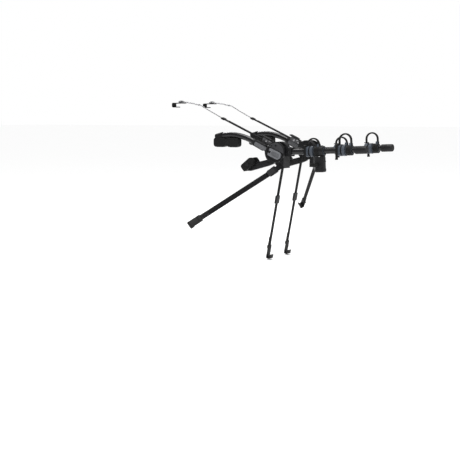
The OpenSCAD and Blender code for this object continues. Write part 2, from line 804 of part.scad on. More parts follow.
// Rubber strap of the anti-sway cradle, looped forward round an upright member
module anti_sway_strap() {
    z1 = sway_strap_z - sway_strap_h / 2;
    out_r = sway_loop_r + sway_strap_t;
    half = sway_w / 2;
    loop_y = -sway_front + sway_loop_r - 5;
    arm_frame() difference() {
        translate([0, 0, z1]) linear_extrude(sway_strap_h) {
            translate([0, loop_y]) difference() {
                circle(out_r);
                circle(sway_loop_r);
                translate([-2 * out_r, -4 * out_r - 2]) square(4 * out_r);
            }
            for (m = [0, 1]) mirror([m, 0]) {
                translate([sway_loop_r, loop_y - 30]) square([sway_strap_t, 28 + eps]);
                translate([half + seat_clear, loop_y - 30]) square([sway_loop_r - half, 8]);
            }
        }
    }
}

// Ladder strap with ribs and an end block that grips the cable
module top_strap() {
    half = ladder_w / 2;
    ribs = floor((ladder_l - ladder_start - 30) / rib_pitch);
    first = ratchet_end + 4;
    profile = concat([[ladder_l, -ladder_t], [ladder_start, -ladder_t], [ladder_start, 0]],
        [for (i = [0 : ribs - 1]) let (y = first + i * rib_pitch)
            each [[y, 0], [y + 0.8, rib_h], [y + 3.2, rib_h], [y + 4, 0]]], [[ladder_l, 0]]);
    strap_frame() {
        x_plate(strap_x - half, strap_x + half) polygon(profile);
        x_plate(strap_x - half - 1.5, strap_x + half + 1.5)
            round_rect([ladder_l - eps, -ladder_t / 2 - ladder_end_h / 2],
                [ladder_l + ladder_end_l, -ladder_t / 2 + ladder_end_h / 2], 3);
    }
}

// Ratchet buckle: side plates, drum, floor and pins
module ratchet_body() {
    half = ratchet_w / 2;
    strap_frame() difference() {
        union() {
            for (x = [strap_x - half, strap_x + half - ratchet_plate_t]) x_plate(x, x + ratchet_plate_t) {
                round_rect([ratchet_pin_y - 4, -ratchet_h / 2], [ratchet_end, ratchet_h / 2 + 2], 4);
                translate([ratchet_pin_y, -2]) circle(6);
            }
            x_cyl(strap_x - half, strap_x + half, drum_r, drum_y, 0);
            x_cyl(strap_x - half, strap_x + half, ratchet_pin_r, ratchet_pin_y, -2);
            x_cyl(strap_x - half, strap_x + half, ratchet_pin_r, ratchet_lever_y, ratchet_lever_z);
            box([strap_x - half, drum_y, -ratchet_h / 2], [strap_x + half, ratchet_end, -ratchet_h / 2 + 3]);
        }
    }
}

// Ratchet lever on top of the buckle
module ratchet_lever() {
    half = ratchet_w / 2;
    eye_half = half - ratchet_plate_t - 0.4;
    deck = ratchet_h / 2 + 2.6;
    strap_frame() difference() {
        union() {
            x_cyl(strap_x - eye_half, strap_x + eye_half, ratchet_lever_r, ratchet_lever_y, ratchet_lever_z);
            box([strap_x - eye_half, ratchet_lever_y - 2, ratchet_lever_z],
                [strap_x + eye_half, ratchet_lever_y + 12, deck + 5]);
            x_plate(strap_x - half + 0.4, strap_x + half - 0.4)
                round_rect([ratchet_lever_y + 8, deck], [ratchet_lever_y + ratchet_lever_l, deck + 6], 2.8);
        }
        x_cyl(0, 2 * strap_x, ratchet_pin_r + run_clear, ratchet_lever_y, ratchet_lever_z);
    }
}

// Steel cable from the strap's end block round the hook
module top_cable() translate([strap_x, 0, 0]) swept_tube(cable_points, cable_d / 2, cable_sides);

// Crimped sleeves on the two strands of each cable
module cable_ferrules() {
    from = cable_points[6];
    slope = atan2(cable_points[7][2] - from[2], cable_points[7][1] - from[1]);
    hole_r = cable_d / 2 + 0.15;
    color(steel) for (s = [-1, 1]) on_side(s) translate([strap_x, from[1], from[2]]) rotate([slope, 0, 0])
        translate([0, ferrule_y[0] - from[1], 0]) rotate([-90, 0, 0])
        linear_extrude(ferrule_y[1] - ferrule_y[0]) difference() {
            union() {
                for (m = [-1, 1]) translate([m * strand_half, 0]) circle(ferrule_r);
                translate([-strand_half, -ferrule_r]) square(2 * [strand_half, ferrule_r]);
            }
            for (m = [-1, 1]) translate([m * strand_half, 0]) circle(hole_r);
        }
}

// Flat top hooks with a boss that the cable loops round
module top_hooks() {
    half = top_hook_w / 2;
    low = top_hook_z - top_hook_mouth;
    y2 = top_hook_y[1];
    washer_r = boss_r + 2;
    washer_t = 1.6;
    color(rubber) for (s = [-1, 1]) on_side(s) {
        box([strap_x - half, top_hook_y[0], top_hook_z], [strap_x + half, y2, top_hook_z + top_hook_t]);
        box([strap_x - half, y2 - top_hook_t, low - top_hook_t], [strap_x + half, y2, top_hook_z + eps]);
        box([strap_x - half, y2 - top_hook_lip, low - top_hook_t], [strap_x + half, y2, low]);
        translate([strap_x, boss_y, top_hook_z]) {
            cylinder(h = boss_h, r = boss_r);
            translate([0, 0, boss_h]) cylinder(h = washer_t, r = washer_r);
        }
    }
}

// Side webbing, its cam buckles and levers, and its hooks
module side_strap() {
    side_frame() web(0, side_length - 4);
}
module cam_buckles() {
    half = web_w / 2 + 4.5;
    color(dark_grey) for (s = [-1, 1]) on_side(s) side_frame() difference() {
        union() {
            box([cam_from, -half, -cam_wall], [cam_from + cam_l, half, web_t / 2 + web_clear + 1.5]);
            for (y = [-half, half - cam_wall])
                box([cam_from + 4, y, 0], [cam_from + 26, y + cam_wall, cam_h]);
            translate([cam_from + 15, half, cam_h - 5]) rotate([90, 0, 0]) cylinder(h = 2 * half, r = cam_pin_r);
        }
        web(cam_from - 1, cam_from + cam_l + 1, web_clear);
    }
}
module cam_lever() {
    half = web_w / 2 + 4.5 - cam_wall - 0.4;
    z1 = web_t / 2 + web_clear + 2;
    pin_z_cam = cam_h - 5;
    side_frame() difference() {
        union() {
            translate([cam_from + 15, half, pin_z_cam]) rotate([90, 0, 0])
                cylinder(h = 2 * half, r = pin_z_cam - z1);
            box([cam_from + 15, -half, pin_z_cam - 0.5], [cam_from + 56, half, pin_z_cam + 3]);
        }
        translate([cam_from + 15, half + 1, pin_z_cam]) rotate([90, 0, 0])
            cylinder(h = 2 * half + 2, r = cam_pin_r + run_clear);
    }
}
module side_hooks() {
    color(rubber) for (s = [-1, 1]) on_side(s) side_frame() web_hook(side_length);
}

// Bottom webbing looped round the cross tube, its slide adjusters and its hooks
module bottom_straps() {
    loop_in = cross_r + 0.3;
    loop_out = loop_in + web_t;
    color(black) for (s = [-1, 1]) on_side(s) {
        difference() {
            x_cyl(bottom_x - web_w / 2, bottom_x + web_w / 2, loop_out);
            x_cyl(0, 2 * bottom_x, loop_in);
        }
        difference() {
            bottom_frame() web(cross_r, bottom_length - 4);
            x_cyl(0, 2 * bottom_x, loop_out + seat_clear);
        }
    }
}
module slide_adjusters() {
    half = web_w / 2 + 4;
    color(black) for (s = [-1, 1]) on_side(s) bottom_frame() difference() {
        box([adjust_at, -half, -adjust_h / 2], [adjust_at + adjust_l, half, adjust_h / 2]);
        web(adjust_at - 1, adjust_at + adjust_l + 1, web_clear);
        for (x = [adjust_at + 8, adjust_at + adjust_l - 16])
            box([x, -web_w / 2, 0], [x + 8, web_w / 2, adjust_h]);
    }
}
module bottom_hooks() {
    color(rubber) for (s = [-1, 1]) on_side(s) bottom_frame() web_hook(bottom_length);
}

cross_tube();
color(black) on_side(-1) hub_housing();  // hub_housing_left
color(black) on_side(1) hub_housing();  // hub_housing_right
color(dark_grey) on_side(-1) hub_plate();  // hub_plate_left
color(dark_grey) on_side(1) hub_plate();  // hub_plate_right
color(mid_grey) on_side(-1) hub_lever();  // hub_lever_left
color(mid_grey) on_side(1) hub_lever();  // hub_lever_right
hub_axles();
hub_screws();
lever_pins();
color(mid_grey) on_side(-1) upper_bracket();  // upper_bracket_left
color(mid_grey) on_side(1) upper_bracket();  // upper_bracket_right
color(black) on_side(-1) upper_tube();  // upper_tube_left
color(black) on_side(1) upper_tube();  // upper_tube_right
color(rubber) on_side(-1) upper_pad();  // upper_pad_left
color(rubber) on_side(1) upper_pad();  // upper_pad_right
color(black) on_side(-1) lower_arm();  // lower_arm_left
color(black) on_side(1) lower_arm();  // lower_arm_right
color(rubber) on_side(-1) lower_pad();  // lower_pad_left
color(rubber) on_side(1) lower_pad();  // lower_pad_right
color(black) on_side(-1) arm_knuckle();  // arm_knuckle_left
color(black) on_side(1) arm_knuckle();  // arm_knuckle_right
color(black) on_side(-1) arm_tube();  // arm_tube_left
color(black) on_side(1) arm_tube();  // arm_tube_right
color(black) on_side(-1) arm_cap();  // arm_cap_left
color(black) on_side(1) arm_cap();  // arm_cap_right
color(mid_grey) on_side(-1) arm_button();  // arm_button_left
color(mid_grey) on_side(1) arm_button();  // arm_button_right
arm_pins();
color(blue_grey) on_side(-1) cradle(inner_s, neck_l);  // inner_cradle_left
color(blue_grey) on_side(1) cradle(inner_s, 0);  // inner_cradle_right
color(blue_grey) on_side(-1) cradle(outer_s, 0);  // outer_cradle_left
color(blue_grey) on_side(1) cradle(outer_s, 0);  // outer_cradle_right
color(rubber) on_side(-1) cradle_strap(inner_s, inner_loop_h);  // inner_strap_left
color(rubber) on_side(1) cradle_strap(inner_s, inner_loop_h);  // inner_strap_right
color(rubber) on_side(-1) cradle_strap(outer_s, outer_loop_h);  // outer_strap_left
color(rubber) on_side(1) cradle_strap(outer_s, outer_loop_h);  // outer_strap_right
color(black) on_side(-1) anti_sway();  // anti_sway_left
color(rubber) on_side(-1) anti_sway_strap();  // anti_sway_strap_left
color(black) on_side(-1) top_strap();  // top_strap_left
color(black) on_side(1) top_strap();  // top_strap_right
color(steel) on_side(-1) ratchet_body();  // ratchet_body_left
color(steel) on_side(1) ratchet_body();  // ratchet_body_right
color(black) on_side(-1) ratchet_lever();  // ratchet_lever_left
color(black) on_side(1) ratchet_lever();  // ratchet_lever_right
color(steel) on_side(-1) top_cable();  // top_cable_left
color(steel) on_side(1) top_cable();  // top_cable_right
cable_ferrules();
top_hooks();
color(black) on_side(-1) side_strap();  // side_strap_left
color(black) on_side(1) side_strap();  // side_strap_right
cam_buckles();
color(black) on_side(-1) cam_lever();  // cam_lever_left
color(black) on_side(1) cam_lever();  // cam_lever_right
side_hooks();
bottom_straps();
slide_adjusters();
bottom_hooks();
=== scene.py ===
"""Strap-on carrier rack: finishes, rounded mouldings, webbing, cables and fittings on its solids."""

import json
import math

import bmesh
import bpy
from bpy.props import FloatProperty, FloatVectorProperty, IntProperty, PointerProperty
from mathutils import Matrix, Vector

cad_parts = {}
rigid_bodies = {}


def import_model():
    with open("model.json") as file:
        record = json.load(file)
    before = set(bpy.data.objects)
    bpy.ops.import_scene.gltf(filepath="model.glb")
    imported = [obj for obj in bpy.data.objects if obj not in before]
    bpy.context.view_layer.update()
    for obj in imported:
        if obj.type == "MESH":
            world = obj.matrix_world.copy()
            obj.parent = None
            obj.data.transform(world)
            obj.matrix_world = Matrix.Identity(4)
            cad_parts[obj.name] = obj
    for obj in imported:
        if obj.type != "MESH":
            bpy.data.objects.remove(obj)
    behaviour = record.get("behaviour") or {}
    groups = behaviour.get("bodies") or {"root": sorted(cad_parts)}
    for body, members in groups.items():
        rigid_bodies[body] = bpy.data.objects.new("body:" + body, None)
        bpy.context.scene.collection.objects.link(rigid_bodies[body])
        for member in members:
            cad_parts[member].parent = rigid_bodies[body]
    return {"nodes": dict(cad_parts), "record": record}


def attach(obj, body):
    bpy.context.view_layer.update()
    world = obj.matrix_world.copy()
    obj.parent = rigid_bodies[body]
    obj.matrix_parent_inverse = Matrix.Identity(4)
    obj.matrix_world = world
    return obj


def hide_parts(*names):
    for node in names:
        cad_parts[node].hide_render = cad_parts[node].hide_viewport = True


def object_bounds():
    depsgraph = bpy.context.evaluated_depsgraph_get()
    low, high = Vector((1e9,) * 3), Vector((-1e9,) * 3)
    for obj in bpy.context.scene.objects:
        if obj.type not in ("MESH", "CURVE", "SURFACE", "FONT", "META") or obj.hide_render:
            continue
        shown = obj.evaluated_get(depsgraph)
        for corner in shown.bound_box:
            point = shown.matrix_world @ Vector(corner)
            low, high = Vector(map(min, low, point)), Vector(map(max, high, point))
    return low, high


bl_info = {
    "name": "Carrier rack dresser",
    "version": (1, 0, 0),
    "blender": (4, 5, 0),
    "location": "View3D > Sidebar > Rack",
    "description": "Dresses the solids of a strap-on carrier rack with finishes and fine parts",
    "category": "Object",
}

for stray in list(bpy.data.objects):
    bpy.data.objects.remove(stray)
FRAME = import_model()
CAD_LOW, CAD_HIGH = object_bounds()
NODES = FRAME["nodes"]
RECORD = FRAME["record"]
SLOT_OF = {part["node"]: part["material_slot"] for part in RECORD["subparts"]}
BODY_OF = {node: body for body, nodes in RECORD["behaviour"]["bodies"].items() for node in nodes}
SIDES = ("left", "right")
SIGN = {"left": -1.0, "right": 1.0}
MM = 0.001
HERE = Matrix.Identity(4)
FINISH = {}

# Meshes: merging distances of new shapes and of solids in metres, and the angle of faces joined as flat
MERGE = 1e-7
NODE_MERGE = 2e-6
FLAT_ANGLE = 0.6

# Camera: the photograph's viewpoint, its field of view, and the image it is measured in
IMAGE_PX = 460
FOCAL_PX = 889
SENSOR_MM = 36
VIEW_YAW = 302.0
VIEW_PITCH = 7.24
VIEW_END = 200
CAMERA_AT = (-3.99, -2.11, 0.169)

# Studio: the picture's gamma, gap under the lowest hook, floor, world and ceiling light
PICTURE_GAMMA = 0.9
FLOOR_GAP = 0.004
FLOOR_HALF = 60.0
FLOOR_WHITE = (0.93, 0.93, 0.93, 1)
WORLD_LIGHT = 0.34
CEILING_LIGHT = 2.3
CEILING_SPREAD = 50
CEILING_AT = (0, 0, 3)

# Studio lamps: name, place, power and size
STUDIO_LIGHTS = (("key", (-2.6, -1.2, 2.6), 66, 0.8), ("fill", (-1.0, -3.2, 1.0), 24, 1.2),
                 ("rim", (1.8, 2.4, 2.4), 40, 1.2), ("top", (-0.2, 0.0, 3.0), 25, 2.0))

# Finishes: how mottling, painted shade in valleys, scuffs, dust and the painted shade of dishes change a
# finish, and the height of its bump
MOTTLE_DARK = 0.72
MOTTLE_LIGHT = 1.25
# Painted shade: how dark the valleys of weave and cable strands are made
VALLEY_SHADE = 0.35
SCUFF_GAIN = 1.6
SCUFF_LIFT = 0.03
DUST_DULL = 0.3
LEAST_ROUGH = 0.05
ROUGH_LESS = 0.08
ROUGH_MORE = 0.1
COAT_ROUGH = 0.18
BUMP_HEIGHT = 0.0006
# Painted shade: how much darker the lever's dish is than the lever, for the shade of its recess
DISH_SHADE = 0.72

# All lengths below are in millimetres, and places are for the right-hand side.
# Rounding: the angle of a hard edge, and the nodes with a rounding of their own
HARD_EDGE = 32
OWN_ROUND = {
    "cable_ferrules": 0.8, "hub_plate": 0.7, "hub_screws": 0.3, "hub_lever": 1.4, "upper_bracket": 1.6,
    "arm_button": 0.5, "anti_sway": 2.2, "top_strap": 0.35, "ratchet_body": 0.4, "ratchet_lever": 0.8,
    "cam_lever": 0.6, "cam_buckles": 0.6, "slide_adjusters": 0.8,
}

# Hubs: the lever's dish (face and middle, then length, height, corner and thickness), the heads of the
# hinge pins, and the lip in front of the face on its webs
LEVER_ANGLE = 22.6
LEVER_DISH = (204.4, -7, -10.5)
LEVER_DISH_SIZE = (44.4, 20.4, 10, 0.8)
CLEVIS_HALF = 19.6
PIN_RIM = [(0, 0), (0, 8.4), (0.8, 8.6)]
PIN_DOME = (3.0, 7.6)
SHROUD_X = (190.6, 197)
SHROUD_R = (52.6, 60.5)
SHROUD_FROM = 8
SHROUD_SWEEP = 62
SHROUD_CORNER = 1.6
SHROUD_WEB_X = (191, 196.4)
SHROUD_WEB_R = 48.5
SHROUD_WEB_IN = 4
SHROUD_WEB_HALF = 3

# Upper arms: the tube, its collar (radii and edge) and its bend, the bracket's inlays (length, height and
# corner, then face and thickness on each side), and the treads and saddle of the pad
UPPER_X = 175
UPPER_ANGLE = 25.3
UPPER_DROP = 14
UPPER_R = 14
COLLAR = (13.8, 15.7, 0.9)
COLLAR_IN = 1
BRACKET_END = 136
BEND_START = 150
BEND_R = 298
BEND_SWEEP = 39.9
INLAY_AT = (92, -0.5)
INLAY_SIZE = (72, 20, 7)
INLAY_FACES = ((189.5, 0.95), (159.6, 0.9))
PAD_LOBES = ((216, 284), (294, 362))
TREAD_EDGE = 14
TREAD_PITCH = 6
TREAD_HALF = (13, 1.6)
TREAD_Z = (18.6, 21)
SADDLE_HALF = 11
SADDLE_AT = ((268, 52), (312, 69))

# Lower arms: the rib along the arm, and the ribs and heel of the foot's two halves
ARM_RIB_AT = (88, -54.5)
ARM_RIB_ANGLE = -13
ARM_RIB_LOW = (-7.5, -45, -9)
ARM_RIB_HIGH = (7.5, 45, 8)
FOOT_AT = (154, -64)
FOOT_ANGLE = 38.5
FOOT_HALVES = ((143, 165), (185, 207))
FOOT_LEVEL = 12.5
FOOT_RIBS = 5
FOOT_RIB_IN = 2.5
FOOT_RIB_Y = (36, 38.4)
FOOT_RIB_HALF = 1.4
FOOT_HEEL_IN = 3
FOOT_HEEL_Y = (-39.4, -36)

# Carrying arm: its frame, and its end cap's outline as (along, radius) from the open end, with grooves
# of a depth, slope and floor
ARM_AT = (158, -58.5, 0)
ARM_TILT = 2.7
CAP_AT = 347
CAP_R = 18.5
CAP_SOCKET = [(33, 0), (33, 14), (0, 14), (0, 17.4), (1, CAP_R)]
CAP_GROOVES = (9, 18, 27)
CAP_GROOVE = (0.9, 0.9, 1.7)
CAP_NOSE = [(53, CAP_R), (56, 17.8), (58.5, 16.1), (60, 13.5), (60, 11), (58.8, 9.5), (58.8, 0)]

# Cradles: places along the arm, and the band and the grooved grip behind the front edge, each with its
# length, radii and edge
CRADLE_AT = {"inner": 94.5, "outer": 261.5}
BAND_AT = 16.2
BAND = (7.6, 18, 21.7, 1.0)
GRIP_AT = 43.6
GRIP_R = 24.2
GRIP = (26.4, 18, GRIP_R, 1.2)
GRIP_GROOVES = (4.4, 9.4, 14.4, 19.4)
GRIP_GROOVE = (0.8, 0.7, 1.0)

# Cradle straps: the loop, which clears the grip when it is opened, its pin (behind, up), its eye's radii
# and edge, and the tail (reach, ahead, level) with its teeth and tab
LOOP_BEND_Z = {"inner": 31, "outer": 47}
LOOP_FOOT_Z = 26.5
LOOP_MID = 35
LOOP_R = 33.5
LOOP_T = 7
LOOP_W = 14
LOOP_PIN = (63, 30)
LOOP_CORNER = 2.6
LOOP_EYE = (2.55, 4.6, 0.8)
TAIL_AT = (29, -1, 29.5)
TAIL_W = 12
TAIL_T = 4
TAIL_CORNER = 1.4
TAIL_BEND = 5
TAIL_END = -39
TEETH_Z = range(-30, 15, 5)
TOOTH_X = (1.6, 3)
TOOTH_HALF = 4.6
TOOTH_T = 2.2
TAB_X = (-2.4, 3)
TAB_Z = (-42, -35)
TAB_HALF = 7

# Anti-sway cradle: the arm that has it, its block, its strap (thickness, height, corner) on lugs, and its
# bands and ribs
SWAY_SIDE = "left"
SWAY_HALF = 12
SWAY_Y = (-185.5, -141.5)
SWAY_STRAP = (3.5, 16, 1.3)
SWAY_STRAP_Z = -66
SWAY_LOOP_R = 19.75
SWAY_LOOP_Y = -128.5
SWAY_LEG = 30
SWAY_LUG_X = (12, 20.75)
SWAY_LUG_L = 8
SWAY_LUG_HALF = 7.5
SWAY_BANDS = ((-98, -84), (-53, -47))
SWAY_BAND_OUT = 1.6
SWAY_RIBS = (-80, -73.5, -67, -60.5)
SWAY_RIB_X = (11, 13.1)
SWAY_RIB_Y = (-176.5, -152.5)
SWAY_RIB_T = 3

# Top straps: their frame, the ratchet's rivets as (along, up, radius), the hook and its boss's outline
STRAP_X = 146
STRAP_AT = (88, 56)
STRAP_ANGLE = 23.8
RATCHET_HALF = 12.7
RIVETS = ((-14, 0, 5.2), (-44, -2, 3.8), (-32, 7, 3.4))
RIVET_H = 0.8
TOP_HOOK_Y = (572, 640)
TOP_HOOK_Z = 243
TOP_HOOK_W = 36
TOP_HOOK_MOUTH = 16
TOP_HOOK_LIP = 28
BOSS_Y = 591
BOSS = [(2, 0), (2, 12), (11.6, 12), (11.6, 13.5), (12.1, 14), (12.7, 14), (13.2, 13.5), (13.2, 6),
        (14.6, 5.2), (15.2, 3.5), (15.2, 0)]

# Webbing: its ends, the loop round the cross tube, seams and stitches, and the hooks
SIDE_FROM = (188, -32, -64)
SIDE_TO = (540, 222, -309)
SIDE_ROLL = 65
BOTTOM_X = 95
BOTTOM_START = 18
BOTTOM_TO = (90, -490)
TUBE_LOOP_R = 16.3
TUBE_LOOP_EDGE = 0.7
WEB_W = 25
WEB_T = 2
WEB_EDGE = 0.85
WEB_SHORT = 4
SEWN_L = 44
SEWN_IN = 2
SEAM_IN = (4, 5)
SEAM_HALF = 9
FOLD_START = 17.8
FOLD_END = 66
FOLD_SEAM = (26, 62)
STITCH_PITCH = 1.4
STITCH_HALF = 0.4
STITCH_Z = (-0.2, 0.35)
STITCH_LIFT = 3
HOOK_T = 4
HOOK_W = 34
HOOK_L = 52
HOOK_MOUTH = 15
HOOK_LIP = 22
HOOK_GRIP = 16
HOOK_IN = 3
HOOK_BEND = 5
HOOK_CORNER = 1.3

# Right-hand steel cable from the top strap's middle plane: out and half round the hook's boss, then back
CABLE_OUT = [
    (0, 340, 165), (0, 360, 174), (1, 390, 189), (2, 420, 204), (3, 450, 220), (3, 464, 227),
    (3, 480, 231), (3, 504, 236), (5, 520, 239), (11, 545, 243), (15, 570, 246), (15, 590, 247),
    (14, 596, 247), (10, 602, 247), (5, 605, 247), (0, 606, 247),
]
CABLE_BACK = [(-x, y, z) for x, y, z in reversed(CABLE_OUT[6:-1])] + [(-3, 474, 229.75)]


def length_property(label, what, value):
    """A length in metres that a user may change, from its default in millimetres."""
    return FloatProperty(name=label, description=what, default=value * MM, min=0.0, unit="LENGTH")


def colour_property(label, what, *value):
    """A colour that a user may change."""
    return FloatVectorProperty(name=label, description=what, subtype="COLOR", default=value)


class RackSizes(bpy.types.PropertyGroup):
    """Sizes of the fine parts."""

    edge_round: length_property("Edge round", "Rounding of moulded edges", 1.2)
    metal_round: length_property("Metal edge round", "Rounding of metal edges", 0.5)
    rubber_round: length_property("Rubber edge round", "Rounding of rubber edges", 2.4)
    cable_width: length_property("Cable diameter", "Diameter of the steel cable", 5)
    stitch_length: length_property("Stitch length", "Length of one stitch in the webbing", 3.2)
    collar_length: length_property("Collar length", "Length of the collar on each upper tube", 11)
    round_steps: IntProperty(name="Round steps", description="Segments of a rounding", default=3, min=1)


class RackColours(bpy.types.PropertyGroup):
    """Colours of the finishes."""

    coat_black: colour_property("Tube coat", "Powder coat of the tubes", 0.010, 0.010, 0.011)
    hub_black: colour_property("Hub plastic", "Plastic of the hubs", 0.011, 0.011, 0.012)
    plate_grey: colour_property("Face plate", "Plastic of the hub face plates", 0.044, 0.044, 0.047)
    lever_grey: colour_property("Lever", "Plastic of the hub levers", 0.155, 0.158, 0.168)
    bracket_grey: colour_property("Bracket", "Paint of the bracket inlays", 0.150, 0.152, 0.160)
    cradle_grey: colour_property("Cradle", "Plastic of the cradles", 0.060, 0.070, 0.086)
    rubber_black: colour_property("Rubber", "Rubber of pads and straps", 0.010, 0.010, 0.010)
    web_black: colour_property("Webbing", "Yarn of the webbing", 0.014, 0.014, 0.015)
    thread_grey: colour_property("Thread", "Stitching thread", 0.10, 0.10, 0.105)
    steel: colour_property("Steel", "Plated steel", 0.50, 0.50, 0.51)
    dust: colour_property("Dust", "Dust on upward faces", 0.20, 0.19, 0.18)


def sizes():
    """The scene's sizes."""
    return bpy.context.scene.rack_sizes


def colours():
    """The scene's colours."""
    return bpy.context.scene.rack_colours


# Shader groups and finishes


def feed(node, sockets):
    """Sets inputs of a node to plain values, or links them to other nodes' outputs."""
    for name, value in sockets.items():
        if isinstance(value, bpy.types.NodeSocket):
            node.id_data.links.new(value, node.inputs[name])
        else:
            node.inputs[name].default_value = value


def add(tree, kind, sockets, output=0, **values):
    """Adds a shader node with its inputs and properties, and gives one of its outputs."""
    node = tree.nodes.new(f"ShaderNode{kind}")
    for key, value in values.items():
        setattr(node, key, value)
    feed(node, sockets)
    return node.outputs[output]


def new_group(name, space, label, *outputs):
    """A shader group of plain numbers: its tree, texture place, one input and node for its outputs."""
    tree = bpy.data.node_groups.new(name, "ShaderNodeTree")
    tree.interface.new_socket(label, in_out="INPUT", socket_type="NodeSocketFloat")
    for output in outputs:
        tree.interface.new_socket(output, in_out="OUTPUT", socket_type="NodeSocketFloat")
    where = add(tree, "TexCoord", {}, space)
    return tree, where, tree.nodes.new("NodeGroupInput").outputs[0], tree.nodes.new("NodeGroupOutput")


def grain_group():
    """Fine moulded grain: a height for bump and a slow mottling mask."""
    tree, where, scale, out = new_group("Moulded grain", "Object", "Scale", "Height", "Mottle")
    fine = add(tree, "TexNoise", {"Vector": where, "Scale": scale, "Detail": 3.0, "Roughness": 0.6})
    cells = add(tree, "TexVoronoi", {"Vector": where, "Scale": scale}, "Distance")
    slow = add(tree, "TexNoise", {"Vector": where, "Scale": 38.0, "Detail": 4.0})
    total = add(tree, "Math", {0: fine, 1: cells}, operation="ADD")
    feed(out, {"Height": total, "Mottle": slow})
    return tree


def wear_group():
    """Scuffs: thin scratches in two directions and rubbed patches, as one mask."""
    tree, where, amount, out = new_group("Scuffs", "Object", "Amount", "Mask")
    lines = []
    for angles, stretch in (((0.2, 0.5, 0.3), (900, 26, 26)), ((0.9, 0.1, 1.2), (26, 760, 26))):
        drawn = add(tree, "Mapping", {"Vector": where, "Rotation": angles, "Scale": stretch})
        streaks = add(tree, "TexNoise", {"Vector": drawn, "Scale": 1.0, "Detail": 2.0})
        lines.append(add(tree, "MapRange", {"Value": streaks, "From Min": 0.66, "From Max": 0.74}))
    scratches = add(tree, "Math", {0: lines[0], 1: lines[1]}, operation="MAXIMUM")
    rubbed = add(tree, "TexNoise", {"Vector": where, "Scale": 24.0, "Detail": 5.0})
    patches = add(tree, "MapRange", {"Value": rubbed, "From Min": 0.5, "From Max": 0.72})
    gated = add(tree, "Math", {0: scratches, 1: patches}, operation="MULTIPLY")
    feed(out, {"Mask": add(tree, "Math", {0: gated, 1: amount}, operation="MULTIPLY", use_clamp=True)})
    return tree


def dust_group():
    """Dust that has settled on faces that look up."""
    tree, where, amount, out = new_group("Settled dust", "Object", "Amount", "Mask")
    normal = add(tree, "NewGeometry", {}, "Normal")
    height = add(tree, "SeparateXYZ", {"Vector": normal}, "Z")
    upward = add(tree, "MapRange", {"Value": height, "From Min": 0.55, "From Max": 1.0})
    blots = add(tree, "TexNoise", {"Vector": where, "Scale": 70.0, "Detail": 6.0, "Roughness": 0.7})
    spread = add(tree, "MapRange", {"Value": blots, "From Min": 0.4, "From Max": 0.75})
    settled = add(tree, "Math", {0: upward, 1: spread}, operation="MULTIPLY")
    feed(out, {"Mask": add(tree, "Math", {0: settled, 1: amount}, operation="MULTIPLY", use_clamp=True)})
    return tree


def weave_group():
    """Flat webbing: ribs along the strap and a diagonal twill, from the piece's own UV in metres, with a
    mask of painted shade in the weave's valleys.
    """
    tree, where, scale, out = new_group("Webbing weave", "UV", "Ribs", "Height", "ValleyShade")
    ribs = add(tree, "TexWave", {"Vector": where, "Scale": scale}, "Fac", bands_direction="Y")
    twill = add(tree, "TexWave", {"Vector": where, "Scale": 210.0}, "Fac", bands_direction="DIAGONAL")
    fuzz = add(tree, "TexNoise", {"Vector": where, "Scale": 1400.0, "Detail": 2.0})
    cross = add(tree, "Math", {0: ribs, 1: twill}, operation="MULTIPLY")
    total = add(tree, "Math", {0: fuzz, 1: 0.35, 2: cross}, operation="MULTIPLY_ADD")
    # Painted shade: the weave's valleys, as a mask that darkens the colour
    low = add(tree, "MapRange",
              {"Value": cross, "From Min": 0.05, "From Max": 0.5, "To Min": 1.0, "To Max": 0.0})
    feed(out, {"Height": total, "ValleyShade": low})
    return tree


def strand_group():
    """Twisted strands of a steel cable, from the piece's own UV: round and along, with a mask of painted
    shade between the strands.
    """
    tree, where, twist, out = new_group("Cable lay", "UV", "Twist", "Height", "ValleyShade")
    drawn = add(tree, "Mapping", {"Vector": where, "Scale": (60.0, 1.0, 1.0)})
    lay = add(tree, "TexWave", {"Vector": drawn, "Scale": twist}, "Fac", bands_direction="DIAGONAL")
    # Painted shade: the gaps between the strands, as a mask that darkens the colour
    low = add(tree, "MapRange", {"Value": lay, "From Max": 0.4, "To Min": 1.0, "To Max": 0.0})
    feed(out, {"Height": lay, "ValleyShade": low})
    return tree


GROUPS = {"grain": grain_group, "wear": wear_group, "dust": dust_group, "weave": weave_group,
          "strand": strand_group}
MADE_GROUPS = {}


def group_outputs(tree, key, value):
    """Outputs of a shader group, which is built at its first use, with its one input set."""
    if key not in MADE_GROUPS:
        MADE_GROUPS[key] = GROUPS[key]()
    node = tree.nodes.new("ShaderNodeGroup")
    node.node_tree = MADE_GROUPS[key]
    node.inputs[0].default_value = value
    return node.outputs


def tint(colour, gain=1.0, lift=0.0):
    """A colour made darker or paler, with its alpha."""
    return (*(min(1.0, c * gain + lift) for c in colour), 1.0)


def blend(tree, base, other, mask):
    """A colour mix driven by a mask."""
    return add(tree, "Mix", {0: mask, 6: base, 7: other}, 2, data_type="RGBA")


